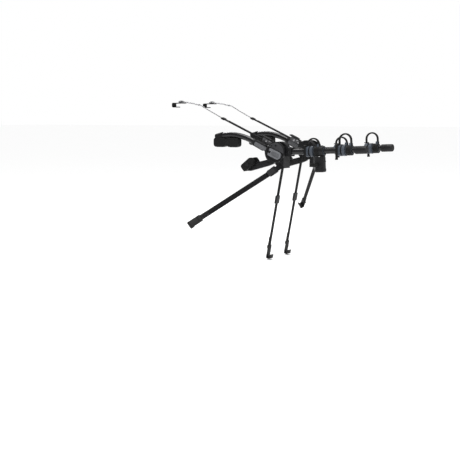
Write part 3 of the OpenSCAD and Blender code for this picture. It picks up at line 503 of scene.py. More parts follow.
def finish_material(name, colour, rough, metal=0.0, coat=0.0, grain=900.0, depth=0.06, scuffs=0.25,
                    dust=0.2, texture="grain", sheen=0.0, spec=0.28):
    """A procedural finish: mottled colour, a bump of grain, weave or strands with painted shade in the
    valleys of weave and strands, scuffs and settled dust.
    """
    material = bpy.data.materials.new(name)
    material.use_nodes = True
    tree = material.node_tree
    # The second output is random mottling for grain, and a mask of painted valley shade for weave and
    # strands
    height, mottle_and_valley_shade = group_outputs(tree, texture, grain)
    if texture == "grain":
        tone = blend(tree, tint(colour, MOTTLE_LIGHT), tint(colour, MOTTLE_DARK), mottle_and_valley_shade)
    else:
        # Weave and strands: colour darkened in their valleys as painted shade
        tone = blend(tree, tint(colour), tint(colour, VALLEY_SHADE), mottle_and_valley_shade)
    worn = group_outputs(tree, "wear", scuffs)[0]
    tone = blend(tree, tone, tint(colour, SCUFF_GAIN, SCUFF_LIFT), worn)
    settled = group_outputs(tree, "dust", dust)[0]
    tone = blend(tree, tone, tint(colours().dust), settled)
    gloss = add(tree, "MapRange", {"Value": mottle_and_valley_shade, "To Min": max(LEAST_ROUGH, rough - ROUGH_LESS),
                                   "To Max": rough + ROUGH_MORE})
    dull = add(tree, "Math", {0: settled, 1: DUST_DULL, 2: gloss}, operation="MULTIPLY_ADD",
               use_clamp=True)
    bump = add(tree, "Bump", {"Strength": depth, "Distance": BUMP_HEIGHT, "Height": height})
    feed(tree.nodes["Principled BSDF"], {
        "Base Color": tone, "Roughness": dull, "Normal": bump, "Metallic": metal, "Coat Weight": coat,
        "Coat Roughness": COAT_ROUGH, "Sheen Weight": sheen, "Specular IOR Level": spec})
    return material


def make_finishes():
    """One finish for each material slot of the record, and two for stitching and the lever dishes, whose
    darker grey is painted shade.
    """
    c = colours()
    values_of = {
        "painted_tube": dict(colour=c.coat_black, rough=0.26, coat=0.4, grain=620, depth=0.05),
        "hub_plastic": dict(colour=c.hub_black, rough=0.42, grain=1500, depth=0.16, dust=0.14),
        "plate_plastic": dict(colour=c.plate_grey, rough=0.50, grain=1300, depth=0.22),
        "lever_plastic": dict(colour=c.lever_grey, rough=0.34, grain=1800, depth=0.06, coat=0.15),
        "bracket_paint": dict(colour=c.bracket_grey, rough=0.32, metal=0.35, grain=1600, depth=0.05,
                              coat=0.2),
        "pin_steel": dict(colour=c.steel, rough=0.30, metal=1.0, grain=700, depth=0.05, dust=0.1),
        "screw_steel": dict(colour=(0.03, 0.03, 0.032), rough=0.38, metal=0.8, grain=900, depth=0.05),
        "ratchet_steel": dict(colour=(0.15, 0.15, 0.155), rough=0.36, metal=0.9, grain=800, depth=0.08),
        "cable_steel": dict(colour=(0.36, 0.36, 0.37), rough=0.34, metal=0.7, grain=7.0, depth=0.5,
                            texture="strand", dust=0.1),
        "soft_rubber": dict(colour=c.rubber_black, rough=0.58, grain=1100, depth=0.2, scuffs=0.2,
                            dust=0.3, spec=0.2),
        "cradle_plastic": dict(colour=c.cradle_grey, rough=0.46, grain=1200, depth=0.12),
        "black_plastic": dict(colour=c.hub_black, rough=0.46, grain=1400, depth=0.14),
        "buckle_metal": dict(colour=(0.020, 0.020, 0.021), rough=0.34, metal=0.6, grain=800, depth=0.06),
        "hook_coat": dict(colour=c.rubber_black, rough=0.52, grain=700, depth=0.12),
        "webbing": dict(colour=c.web_black, rough=0.80, grain=260, depth=0.6, texture="weave", scuffs=0.1,
                        sheen=0.06, spec=0.15),
        # The lever's dish: lever grey darkened as painted shade of its recess
        "lever_dish": dict(colour=tint(c.lever_grey, DISH_SHADE)[:3], rough=0.48, grain=1500, depth=0.2),
        "thread": dict(colour=c.thread_grey, rough=0.7, grain=2500, depth=0.3),
    }
    return {name: finish_material(name, **values) for name, values in values_of.items()}


# Mesh helpers


def sharp_edges(bm, degrees):
    """Edges between two faces that turn by more than an angle."""
    limit = math.radians(degrees)
    return [e for e in bm.edges if len(e.link_faces) == 2 and e.calc_face_angle(0.0) > limit]


def edges_at(verts):
    """Edges that meet at some vertices."""
    return {e for v in verts for e in v.link_edges}


def bevel(bm, geom, width, steps, affect="EDGES"):
    """Rounds edges or corners by a width in metres."""
    bmesh.ops.bevel(bm, geom=geom, offset=width, offset_type="OFFSET", affect=affect, segments=steps,
                    profile=0.5, clamp_overlap=True, material=-1)


def stand(name, data):
    """A new object in the scene with its data."""
    made = bpy.data.objects.new(name, data)
    bpy.context.scene.collection.objects.link(made)
    return made


def settle(bm, side, frame):
    """Merges a shape, moves it to its frame and side, and points its faces outwards."""
    bmesh.ops.remove_doubles(bm, verts=bm.verts, dist=MERGE)
    bmesh.ops.transform(bm, matrix=frame, verts=bm.verts)
    if side == "left":
        bmesh.ops.scale(bm, vec=(-1, 1, 1), verts=bm.verts)
    bmesh.ops.recalc_face_normals(bm, faces=bm.faces)


def place(bm, name, body, slot, side=None, frame=HERE, finish=None, node=None, crease=None):
    """Makes a bmesh a piece on a body, smooth but for edges over the crease; new shapes are settled."""
    if side:
        settle(bm, side, frame)
    mesh = bpy.data.meshes.new(name)
    for face in bm.faces:
        face.smooth = True
    if crease:
        for edge in sharp_edges(bm, crease):
            edge.smooth = False
    bm.to_mesh(mesh)
    bm.free()
    piece = stand(name, mesh)
    mesh.materials.append(FINISH[finish or slot])
    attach(piece, body)
    if node:
        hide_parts(node)
    return piece


def node_mesh(node, side=None):
    """A merged copy of a solid's mesh with its flat faces joined, or of its solids on one side."""
    bm = bmesh.new()
    bm.from_mesh(NODES[node].data)
    bmesh.ops.remove_doubles(bm, verts=bm.verts, dist=NODE_MERGE)
    if side:
        other = [v for v in bm.verts if v.co.x * SIGN[side] < 0]
        bmesh.ops.delete(bm, geom=other, context="VERTS")
    bmesh.ops.dissolve_limit(bm, angle_limit=math.radians(FLAT_ANGLE), verts=bm.verts, edges=bm.edges)
    return bm


def rounded(node, width=None, side=None, steps=None, slot=None):
    """A solid with its hard edges rounded by its own or a given width, standing for the plain one."""
    family = node.removesuffix("_left").removesuffix("_right")
    bm = node_mesh(node, side)
    bevel(bm, sharp_edges(bm, HARD_EDGE), width or OWN_ROUND[family] * MM, steps or sizes().round_steps)
    name = f"{node}_{side}_rounded" if side else f"{node}_rounded"
    piece = place(bm, name, BODY_OF[node], slot or SLOT_OF[node], node=node)
    piece.modifiers.new("Flat faces", "WEIGHTED_NORMAL").keep_sharp = True
    return piece


def mm(*values):
    """A point or size in millimetres as a vector in metres."""
    return Vector(values) * MM


def shift(*values):
    """A move by millimetres."""
    return Matrix.Translation(mm(*values))


def turn_x(degrees):
    """A turn about X."""
    return Matrix.Rotation(math.radians(degrees), 4, "X")


def turn_y(degrees):
    """A turn about Y."""
    return Matrix.Rotation(math.radians(degrees), 4, "Y")


def turn_z(degrees):
    """A turn about Z."""
    return Matrix.Rotation(math.radians(degrees), 4, "Z")


def upper_frame():
    """Frame of an upper arm: Y along its straight tube."""
    return turn_x(UPPER_ANGLE)


def arm_frame():
    """Frame of a carrying arm: -Y along the arm from its hinge pin."""
    return shift(*ARM_AT) @ turn_x(-ARM_TILT)


def strap_frame():
    """Frame of a top strap: Y along the strap."""
    return shift(STRAP_X, *STRAP_AT) @ turn_x(STRAP_ANGLE)


def side_frame():
    """Frame of a side webbing: X along it."""
    run = Vector(SIDE_TO) - Vector(SIDE_FROM)
    azimuth = math.degrees(math.atan2(run.y, run.x))
    rise = math.degrees(math.atan2(run.z, math.hypot(run.x, run.y)))
    return shift(*SIDE_FROM) @ turn_z(azimuth) @ turn_y(-rise) @ turn_x(SIDE_ROLL)


def bottom_frame():
    """Frame of a bottom webbing: X along it."""
    rise = math.degrees(math.atan2(BOTTOM_TO[1], BOTTOM_TO[0]))
    return shift(BOTTOM_X, 0, 0) @ turn_z(90) @ turn_y(-rise)


def ring(bm, width, depth, corner, matrix, steps=4):
    """Edges of a rounded rectangle in a frame's XY plane, to be pushed and turned into a band."""
    made = bmesh.ops.create_grid(bm, x_segments=1, y_segments=1, size=0.5,
                                 matrix=matrix @ Matrix.Diagonal((width * MM, depth * MM, 1, 1)))
    before = set(bm.edges) - edges_at(made["verts"])
    bevel(bm, made["verts"], corner * MM, steps, "VERTICES")
    outline = [e for e in bm.edges if e not in before]
    faces = list({f for e in outline for f in e.link_faces})
    bmesh.ops.delete(bm, geom=faces, context="FACES_ONLY")
    return outline


def inlay(bm, matrix, x, length, height, corner, thick):
    """A thin rounded plate on a face that looks along X, lengthwise along the frame's Y."""
    edges = ring(bm, length, height, corner, matrix @ shift(x, 0, 0) @ turn_z(90) @ turn_x(90), steps=8)
    push(bm, edges, mm(thick, 0, 0))
    close_ends(bm)


def round_ring(bm, radius, matrix, steps=48):
    """Edges of a circle in a frame's XY plane."""
    made = bmesh.ops.create_circle(bm, cap_ends=False, segments=steps, radius=radius * MM, matrix=matrix)
    return list(edges_at(made["verts"]))


def push(bm, edges, vector):
    """Extrudes an outline straight along a vector and gives the new outline."""
    made = bmesh.ops.extrude_edge_only(bm, edges=edges)["geom"]
    bmesh.ops.translate(bm, verts=[g for g in made if isinstance(g, bmesh.types.BMVert)], vec=vector)
    return [g for g in made if isinstance(g, bmesh.types.BMEdge)
            and all(v in made for v in g.verts) and len(g.link_faces) == 1]


def turn(bm, edges, centre, axis, degrees, steps=10):
    """Turns an outline about an axis and gives the new outline."""
    geometry = edges + list({v for e in edges for v in e.verts})
    made = bmesh.ops.spin(bm, geom=geometry, cent=centre, axis=axis, angle=math.radians(degrees),
                          steps=steps, use_merge=False, use_duplicate=False)["geom_last"]
    return [g for g in made if isinstance(g, bmesh.types.BMEdge)]


def close_ends(bm):
    """Closes every open outline with a face."""
    bmesh.ops.remove_doubles(bm, verts=bm.verts, dist=MERGE)
    bmesh.ops.holes_fill(bm, edges=[e for e in bm.edges if e.is_boundary], sides=0)


def lathe(bm, profile, matrix, steps=48, loop=False):
    """An outline of (along, radius) pairs in millimetres turned about a frame's X axis."""
    verts = [bm.verts.new(matrix @ mm(x, 0.0, r)) for x, r in profile]
    pairs = list(zip(verts, verts[1:])) + ([(verts[-1], verts[0])] if loop else [])
    edges = [bm.edges.new(pair) for pair in pairs]
    axis = (matrix.to_3x3() @ Vector((1, 0, 0))).normalized()
    bmesh.ops.spin(bm, geom=verts + edges, cent=matrix.translation, axis=axis, angle=2 * math.pi,
                   steps=steps, use_merge=True, use_duplicate=False)


def dome_profile(height, radius, steps=6):
    """Outline of a domed head, from its foot's middle over the rim to its top."""
    angles = [math.radians(90 * i / steps) for i in range(steps + 1)]
    return [(0, 0)] + [(height * math.sin(a), radius * math.cos(a)) for a in angles]


def bar(bm, matrix, low, high, edge=0.0, steps=2):
    """A block between two corners of a frame with its edges rounded, in millimetres."""
    size = mm(*high) - mm(*low)
    middle = (mm(*high) + mm(*low)) / 2
    made = bmesh.ops.create_cube(bm, size=1.0, matrix=matrix @ Matrix.Translation(middle)
                                 @ Matrix.Diagonal((*size, 1.0)))
    if edge:
        bevel(bm, list(edges_at(made["verts"])), edge * MM, steps)


def smooth_route(points, steps=4):
    """Points on the smooth curve through a route."""
    route = [Vector(p) for p in points]
    found = []
    for i in range(len(route) - 1):
        a, b = route[max(i - 1, 0)], route[i]
        c, d = route[i + 1], route[min(i + 2, len(route) - 1)]
        for k in range(steps):
            t = k / steps
            found.append(0.5 * (2 * b + (c - a) * t + (2 * a - 5 * b + 4 * c - d) * t * t
                                + (3 * b - a - 3 * c + d) * t ** 3))
    return found + [route[-1]]


def ring_profile(length, inner, outer, edge, grooves=()):
    """Outline of a ring with bevelled outer edges, plain or with grooves."""
    return [(0, inner), (0, outer - edge), (edge, outer), *grooves, (length - edge, outer),
            (length, outer - edge), (length, inner)]


def groove_profile(starts, radius, deep, slope, floor):
    """Outline of a row of grooves round a cylinder."""
    outline = []
    for at in starts:
        outline += [(at, radius), (at + slope, radius - deep), (at + slope + floor, radius - deep),
                    (at + 2 * slope + floor, radius)]
    return outline


def lay_uv(bm, radius=0.0):
    """Gives webbing a UV map in metres: along and across a strip, or round and across a loop."""
    layer = bm.loops.layers.uv.new("weave")
    for face in bm.faces:
        for corner in face.loops:
            at = corner.vert.co
            corner[layer].uv = (math.atan2(at.y, at.z) * radius * MM, at.x) if radius else at.xy


def strip(bm, start, end, lift=0.0):
    """A strip of webbing along a frame's X axis."""
    edges = ring(bm, WEB_T, WEB_W, WEB_EDGE, shift(start, 0, lift) @ turn_y(90), steps=3)
    push(bm, edges, mm(end - start, 0, 0))
    close_ends(bm)


def stitch_run(bm, start, end):
    """A row of stitches between two points of a folded strip."""
    run = Vector(end) - Vector(start)
    length = sizes().stitch_length / MM
    count = max(2, int(run.length / (length * STITCH_PITCH)))
    angle = math.degrees(math.atan2(run.y, run.x))
    low, high = STITCH_Z
    for i in range(count):
        at = Vector(start) + run * ((i + 0.5) / count)
        bar(bm, shift(at.x, at.y, STITCH_LIFT) @ turn_z(angle), (-length / 2, -STITCH_HALF, low),
            (length / 2, STITCH_HALF, high))


def stitch_box(bm, start, end):
    """A sewn box with its cross."""
    a, b = (start, -SEAM_HALF), (end, -SEAM_HALF)
    c, d = (end, SEAM_HALF), (start, SEAM_HALF)
    for first, last in ((a, b), (b, c), (c, d), (d, a), (a, c), (b, d)):
        stitch_run(bm, first, last)


def bent_plate(bm, start, end, width, mouth, lip):
    """A flat plate along a frame's X axis, under its XY plane, bent back twice into a hook."""
    bend = HOOK_BEND
    last = end - HOOK_T / 2 - bend
    middle = -HOOK_T / 2
    low = middle - mouth - HOOK_T
    edges = ring(bm, HOOK_T, width, HOOK_CORNER, shift(start, 0, middle) @ turn_y(90))
    edges = push(bm, edges, mm(last - start, 0, 0))
    edges = turn(bm, edges, mm(last, 0, middle - bend), (0, 1, 0), 90)
    edges = push(bm, edges, mm(0, 0, low - middle + 2 * bend))
    edges = turn(bm, edges, mm(last, 0, low + bend), (0, 1, 0), 90)
    push(bm, edges, mm(end - lip - last, 0, 0))
    close_ends(bm)


def bent_loop(bm, edges, leg, centre, axis, steps):
    """Pushes an outline along a leg, round a half turn and back, into a closed band."""
    edges = push(bm, edges, leg)
    edges = turn(bm, edges, centre, axis, 180, steps)
    push(bm, edges, -leg)
    close_ends(bm)


class RACK_OT_stage(bpy.types.Operator):
    """Pale floor, studio lights and the camera at the photograph's viewpoint"""

    bl_idname = "rack.stage"
    bl_label = "Stage and camera"

    def execute(self, context):
        scene = context.scene
        scene.view_settings.view_transform = "Standard"
        scene.view_settings.gamma = PICTURE_GAMMA
        bm = bmesh.new()
        bmesh.ops.create_grid(bm, x_segments=2, y_segments=2, size=FLOOR_HALF)
        bmesh.ops.translate(bm, verts=bm.verts, vec=(0, 0, CAD_LOW.z - FLOOR_GAP))
        mesh = bpy.data.meshes.new("floor")
        bm.to_mesh(mesh)
        bm.free()
        floor = stand("floor", mesh)
        paper = bpy.data.materials.new("floor_paper")
        paper.use_nodes = True
        feed(paper.node_tree.nodes["Principled BSDF"],
             {"Base Color": FLOOR_WHITE, "Roughness": 0.9, "Specular IOR Level": 0.1})
        mesh.materials.append(paper)

        world = scene.world or bpy.data.worlds.new("studio")
        scene.world = world
        world.use_nodes = True
        tree = world.node_tree
        seen = add(tree, "LightPath", {}, "Is Camera Ray")
        level = add(tree, "MapRange", {"Value": seen, "To Min": WORLD_LIGHT, "To Max": 1.0})
        feed(tree.nodes["Background"], {"Color": (1, 1, 1, 1), "Strength": level})
        lamp = bpy.data.lights.new("ceiling", "SUN")
        lamp.energy = CEILING_LIGHT
        lamp.angle = math.radians(CEILING_SPREAD)
        stand("ceiling", lamp).location = CEILING_AT

        for name, at, power, size in STUDIO_LIGHTS:
            lamp = bpy.data.lights.new(name, "AREA")
            lamp.energy = power
            lamp.size = size
            light = stand(name, lamp)
            light.location = at
            light.rotation_euler = (-Vector(at)).to_track_quat("-Z", "Y").to_euler()

        lens = bpy.data.cameras.new("camera")
        lens.sensor_width = SENSOR_MM
        lens.lens = FOCAL_PX / IMAGE_PX * SENSOR_MM
        lens.clip_end = VIEW_END
        camera = stand("camera", lens)
        camera.location = CAMERA_AT
        camera.rotation_euler = (math.radians(90 - VIEW_PITCH), 0, math.radians(VIEW_YAW))
        scene.camera = camera
        return {"FINISHED"}


class RACK_OT_cables(bpy.types.Operator):
    """Steel cables with their crimped sleeves and bent top hooks"""

    bl_idname = "rack.cables"
    bl_label = "Top cables"

    def execute(self, context):
        for side in SIDES:
            sleeve = rounded("cable_ferrules", side=side)
            hook = self.top_hook(side)
            points = smooth_route(CABLE_OUT + CABLE_BACK)
            route = [mm(SIGN[side] * (x + STRAP_X), y, z) for x, y, z in points]
            curve = bpy.data.curves.new(f"top_cable_{side}_strand", "CURVE")
            curve.dimensions = "3D"
            spline = curve.splines.new("POLY")
            spline.points.add(len(route) - 1)
            for point, at in zip(spline.points, route):
                point.co = (*at, 1.0)
            curve.bevel_depth = sizes().cable_width / 2
            curve.bevel_resolution = 4
            curve.use_fill_caps = True
            spline.use_smooth = True
            curve.materials.append(FINISH["cable_steel"])
            cable = stand(f"top_cable_{side}_strand", curve)
            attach(cable, "root")
            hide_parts(f"top_cable_{side}")
        return {"FINISHED"}

    def top_hook(self, side):
        """The flat hook with its boss that the cable loops round."""
        bm = bmesh.new()
        bent_plate(bm, *TOP_HOOK_Y, TOP_HOOK_W, TOP_HOOK_MOUTH, TOP_HOOK_LIP)
        lathe(bm, BOSS, shift(BOSS_Y, 0, -HOOK_T) @ turn_y(-90))
        frame = shift(STRAP_X, 0, TOP_HOOK_Z) @ turn_z(90)
        return place(bm, f"top_hook_{side}_bent", "root", "hook_coat", side, frame, node="top_hooks",
                     crease=40)


class RACK_OT_hubs(bpy.types.Operator):
    """Hub housings, face plates, screws, axles, the cross tube and the heads of the arms' pins"""

    bl_idname = "rack.hubs"
    bl_label = "Hubs"

    def execute(self, context):
        for side in SIDES:
            rounded(f"hub_housing_{side}", sizes().edge_round)
            rounded(f"hub_plate_{side}")
            bm = bmesh.new()
            for reach, way in ((CLEVIS_HALF, 0), (-CLEVIS_HALF, 180)):
                lathe(bm, PIN_RIM + dome_profile(*PIN_DOME)[1:],
                      shift(ARM_AT[0] + reach, ARM_AT[1], 0) @ turn_z(way))
            place(bm, f"arm_pin_heads_{side}", "root", "screw_steel", side, crease=50)
            self.shroud(side)
        rounded("hub_screws")
        rounded("cross_tube", sizes().metal_round)
        rounded("hub_axles", sizes().metal_round)
        return {"FINISHED"}

    def shroud(self, side):
        """Curved lip in front of the hub's face, on two short webs."""
        low, high = SHROUD_X
        inner, outer = SHROUD_R
        middle = (inner + outer) / 2
        bm = bmesh.new()
        edges = ring(bm, high - low, outer - inner, SHROUD_CORNER,
                     turn_x(SHROUD_FROM) @ shift((low + high) / 2, middle, 0))
        turn(bm, edges, (0, 0, 0), (-1, 0, 0), SHROUD_SWEEP, steps=32)
        close_ends(bm)
        low, high = SHROUD_WEB_X
        for angle in (SHROUD_FROM - SHROUD_WEB_IN, SHROUD_FROM - SHROUD_SWEEP + SHROUD_WEB_IN):
            bar(bm, turn_x(angle), (low, SHROUD_WEB_R, -SHROUD_WEB_HALF),
                (high, middle, SHROUD_WEB_HALF), edge=0.9)
        place(bm, f"hub_shroud_{side}", "root", "hub_plastic", side, crease=45)


class RACK_OT_hub_levers(bpy.types.Operator):
    """Flip levers in the hub faces, with their pins"""

    bl_idname = "rack.hub_levers"
    bl_label = "Hub levers"

    def execute(self, context):
        face, *at = LEVER_DISH
        for side in SIDES:
            rounded(f"hub_lever_{side}")
            bm = bmesh.new()
            # A darker plate in the lever's recess: painted shade
            inlay(bm, turn_x(LEVER_ANGLE) @ shift(0, *at), face, *LEVER_DISH_SIZE)
            place(bm, f"lever_dish_{side}", f"hub_lever_{side}", "lever_plastic", side,
                  finish="lever_dish", crease=40)
        rounded("lever_pins", sizes().metal_round)
        return {"FINISHED"}


class RACK_OT_upper_arms(bpy.types.Operator):
    """Forked brackets, arched tubes with their collars, and rubber pads of the upper supports"""

    bl_idname = "rack.upper_arms"
    bl_label = "Upper arms"

    def execute(self, context):
        for side in SIDES:
            body = f"upper_arm_{side}"
            rounded(f"upper_bracket_{side}", slot="hub_plastic")
            rounded(f"upper_pad_{side}", sizes().rubber_round)

            bm = bmesh.new()
            straight = shift(UPPER_X, BRACKET_END, -UPPER_DROP)
            edges = round_ring(bm, UPPER_R, straight @ turn_x(-90))
            edges = push(bm, edges, mm(0, BEND_START - BRACKET_END, 0))
            centre = mm(UPPER_X, BEND_START, -UPPER_DROP - BEND_R)
            turn(bm, edges, centre, (-1, 0, 0), BEND_SWEEP, steps=48)
            close_ends(bm)
            place(bm, f"upper_tube_{side}_bent", body, "painted_tube", side, upper_frame(),
                  node=f"upper_tube_{side}", crease=40)

            bm = bmesh.new()
            lathe(bm, ring_profile(sizes().collar_length / MM, *COLLAR),
                  straight @ shift(0, -COLLAR_IN, 0) @ turn_z(90), loop=True)
            place(bm, f"upper_collar_{side}", body, "black_plastic", side, upper_frame(), crease=50)

            bm = bmesh.new()
            middle = upper_frame() @ shift(0, 0, -UPPER_DROP) @ shift(0, *INLAY_AT)
            for face, thick in INLAY_FACES:
                inlay(bm, middle, face, *INLAY_SIZE, thick)
            place(bm, f"bracket_inlays_{side}", body, "bracket_paint", side, crease=40)
            self.treads(side, body)
        return {"FINISHED"}

    def treads(self, side, body):
        """Ribs on the pad's lobes, and the saddle between the pad and its tube."""
        wide, half = TREAD_HALF
        low, high = TREAD_Z
        bm = bmesh.new()
        for first, last in PAD_LOBES:
            ribbed = last - first - 2 * TREAD_EDGE
            rows = int(ribbed / TREAD_PITCH)
            for i in range(rows):
                at = first + TREAD_EDGE + (i + 0.5) * ribbed / rows
                bar(bm, HERE, (UPPER_X - wide, at - half, low),
                    (UPPER_X + wide, at + half, high), edge=0.7)
        low, high = SADDLE_AT
        bar(bm, HERE, (UPPER_X - SADDLE_HALF, *low), (UPPER_X + SADDLE_HALF, *high), edge=2.5, steps=3)
        place(bm, f"upper_pad_treads_{side}", body, "soft_rubber", side, crease=40)


class RACK_OT_lower_arms(bpy.types.Operator):
    """Lower arms and their rubber feet"""

    bl_idname = "rack.lower_arms"
    bl_label = "Lower arms"

    def execute(self, context):
        for side in SIDES:
            rounded(f"lower_arm_{side}", sizes().edge_round)
            bm = bmesh.new()
            bar(bm, shift(UPPER_X, *ARM_RIB_AT) @ turn_x(ARM_RIB_ANGLE), ARM_RIB_LOW, ARM_RIB_HIGH,
                edge=4, steps=4)
            place(bm, f"lower_arm_rib_{side}", f"lower_arm_{side}", "hub_plastic", side, crease=50)
            rounded(f"lower_pad_{side}", sizes().rubber_round)
            self.treads(side)
        return {"FINISHED"}

    def treads(self, side):
        """Ribs on the sole of each half of the foot, and a plate on its heel."""
        foot = shift(0, *FOOT_AT) @ turn_x(-FOOT_ANGLE)
        sole, tip = FOOT_RIB_Y
        heel, back = FOOT_HEEL_Y
        bm = bmesh.new()
        for low, high in FOOT_HALVES:
            for i in range(FOOT_RIBS):
                z = -FOOT_LEVEL + 2 * FOOT_LEVEL * i / (FOOT_RIBS - 1)
                bar(bm, foot, (low + FOOT_RIB_IN, sole, z - FOOT_RIB_HALF),
                    (high - FOOT_RIB_IN, tip, z + FOOT_RIB_HALF), edge=0.6)
            bar(bm, foot, (low + FOOT_HEEL_IN, heel, -FOOT_LEVEL),
                (high - FOOT_HEEL_IN, back, FOOT_LEVEL), edge=1.8, steps=3)
        place(bm, f"foot_treads_{side}", f"lower_pad_{side}", "soft_rubber", side, crease=40)


class RACK_OT_carry_arms(bpy.types.Operator):
    """Carrying arms: knuckles, tubes, grooved end caps, buttons and hinge pins"""

    bl_idname = "rack.carry_arms"
    bl_label = "Carrying arms"

    def execute(self, context):
        outline = CAP_SOCKET + groove_profile(CAP_GROOVES, CAP_R, *CAP_GROOVE) + CAP_NOSE
        for side in SIDES:
            rounded(f"arm_knuckle_{side}", sizes().metal_round)
            rounded(f"arm_tube_{side}", sizes().metal_round)
            rounded(f"arm_button_{side}")
            bm = bmesh.new()
            lathe(bm, outline, turn_z(-90) @ shift(CAP_AT, 0, 0), steps=56)
            place(bm, f"arm_cap_{side}_grooved", f"carry_arm_{side}", "black_plastic", side, arm_frame(),
                  node=f"arm_cap_{side}", crease=35)
        rounded("arm_pins", sizes().metal_round)
        return {"FINISHED"}


class RACK_OT_cradles(bpy.types.Operator):
    """Cradles with their rubber straps, and the anti-sway cradle of one arm"""

    bl_idname = "rack.cradles"
    bl_label = "Cradles"

    def execute(self, context):
        for side in SIDES:
            for where in CRADLE_AT:
                rounded(f"{where}_cradle_{side}", sizes().edge_round)
                self.strap(where, side)
                self.grip(where, side)
        rounded(f"anti_sway_{SWAY_SIDE}")
        self.sway_strap(SWAY_SIDE)
        self.sway_ribs(SWAY_SIDE)
        return {"FINISHED"}

    def strap(self, where, side):
        """Rubber loop over the cradle, its pin eye, and the toothed pull tail beside the front ring."""
        s = CRADLE_AT[where]
        half = LOOP_W / 2
        rise = LOOP_BEND_Z[where] - LOOP_FOOT_Z
        centre = -s - LOOP_MID
        bm = bmesh.new()
        edges = ring(bm, LOOP_W, LOOP_T, LOOP_CORNER,
                     shift(0, centre + LOOP_R - LOOP_T / 2, LOOP_FOOT_Z))
        bent_loop(bm, edges, mm(0, 0, rise), mm(0, centre, LOOP_BEND_Z[where]), (1, 0, 0), steps=28)
        behind, up = LOOP_PIN
        lathe(bm, ring_profile(LOOP_W, *LOOP_EYE), shift(-half, -s - behind, up), steps=32, loop=True)

        reach, ahead, level = TAIL_AT
        across = -s + ahead
        bend = reach - TAIL_BEND
        edges = ring(bm, TAIL_T, TAIL_W, TAIL_CORNER, shift(-half, across, level) @ turn_y(90))
        edges = push(bm, edges, mm(bend + half, 0, 0))
        edges = turn(bm, edges, mm(bend, across, level - TAIL_BEND), (0, 1, 0), 90)
        push(bm, edges, mm(0, 0, TAIL_END - level + TAIL_BEND))
        close_ends(bm)
        low, high = TOOTH_X
        for z in TEETH_Z:
            bar(bm, HERE, (reach + low, across - TOOTH_HALF, z),
                (reach + high, across + TOOTH_HALF, z + TOOTH_T), edge=0.5)
        low, high = TAB_X
        bar(bm, HERE, (reach + low, across - TAB_HALF, TAB_Z[0]),
            (reach + high, across + TAB_HALF, TAB_Z[1]), edge=1.8, steps=3)
        node = f"{where}_strap_{side}"
        place(bm, f"{node}_moulded", BODY_OF[node], "soft_rubber", side, arm_frame(), node=node,
              crease=45)

    def grip(self, where, side):
        """Black rubber band between the two front rings, and the ribbed grip behind them."""
        bm = bmesh.new()
        along = arm_frame() @ turn_z(-90) @ shift(CRADLE_AT[where], 0, 0)
        grooves = groove_profile(GRIP_GROOVES, GRIP_R, *GRIP_GROOVE)
        for at, outline in ((BAND_AT, ring_profile(*BAND)), (GRIP_AT, ring_profile(*GRIP, grooves))):
            lathe(bm, outline, along @ shift(at, 0, 0), loop=True)
        place(bm, f"{where}_cradle_grip_{side}", f"{where}_cradle_{side}", "soft_rubber", side, crease=40)

    def sway_strap(self, side):
        """Rubber loop in front of the anti-sway cradle, on two lugs."""
        start = SWAY_LOOP_Y - SWAY_LEG
        bm = bmesh.new()
        edges = ring(bm, *SWAY_STRAP, shift(SWAY_LOOP_R, start, SWAY_STRAP_Z) @ turn_x(-90))
        bent_loop(bm, edges, mm(0, SWAY_LEG, 0), mm(0, SWAY_LOOP_Y, SWAY_STRAP_Z), (0, 0, 1), steps=24)
        for way in (-1, 1):
            low, high = sorted(way * x for x in SWAY_LUG_X)
            bar(bm, HERE, (low, start, SWAY_STRAP_Z - SWAY_LUG_HALF),
                (high, start + SWAY_LUG_L, SWAY_STRAP_Z + SWAY_LUG_HALF), edge=1.2)
        node = f"anti_sway_strap_{side}"
        place(bm, f"{node}_moulded", BODY_OF[node], "soft_rubber", side, arm_frame(), node=node,
              crease=45)

    def sway_ribs(self, side):
        """Bands round the anti-sway cradle and grip ribs on its outer face."""
        out = SWAY_BAND_OUT
        back, front = SWAY_Y
        bm = bmesh.new()
        for low, high in SWAY_BANDS:
            bar(bm, HERE, (-SWAY_HALF - out, back - out, low), (SWAY_HALF + out, front + out, high),
                edge=1.4, steps=3)
        near, far = SWAY_RIB_X
        back, front = SWAY_RIB_Y
        for z in SWAY_RIBS:
            bar(bm, HERE, (near, back, z), (far, front, z + SWAY_RIB_T), edge=0.8)
        place(bm, f"anti_sway_ribs_{side}", f"anti_sway_{side}", "black_plastic", side, arm_frame())


class RACK_OT_top_straps(bpy.types.Operator):
    """Ladder straps with their ratchet buckles and rivets"""

    bl_idname = "rack.top_straps"
    bl_label = "Top straps"

    def execute(self, context):
        for side in SIDES:
            rounded(f"top_strap_{side}", steps=2)
            rounded(f"ratchet_body_{side}")
            rounded(f"ratchet_lever_{side}")
            bm = bmesh.new()
            for reach, way in ((RATCHET_HALF, 0), (-RATCHET_HALF, 180)):
                for y, z, r in RIVETS:
                    lathe(bm, dome_profile(RIVET_H, r), shift(reach, y, z) @ turn_z(way), steps=24)
            place(bm, f"ratchet_rivets_{side}", "root", "pin_steel", side, strap_frame())
        return {"FINISHED"}


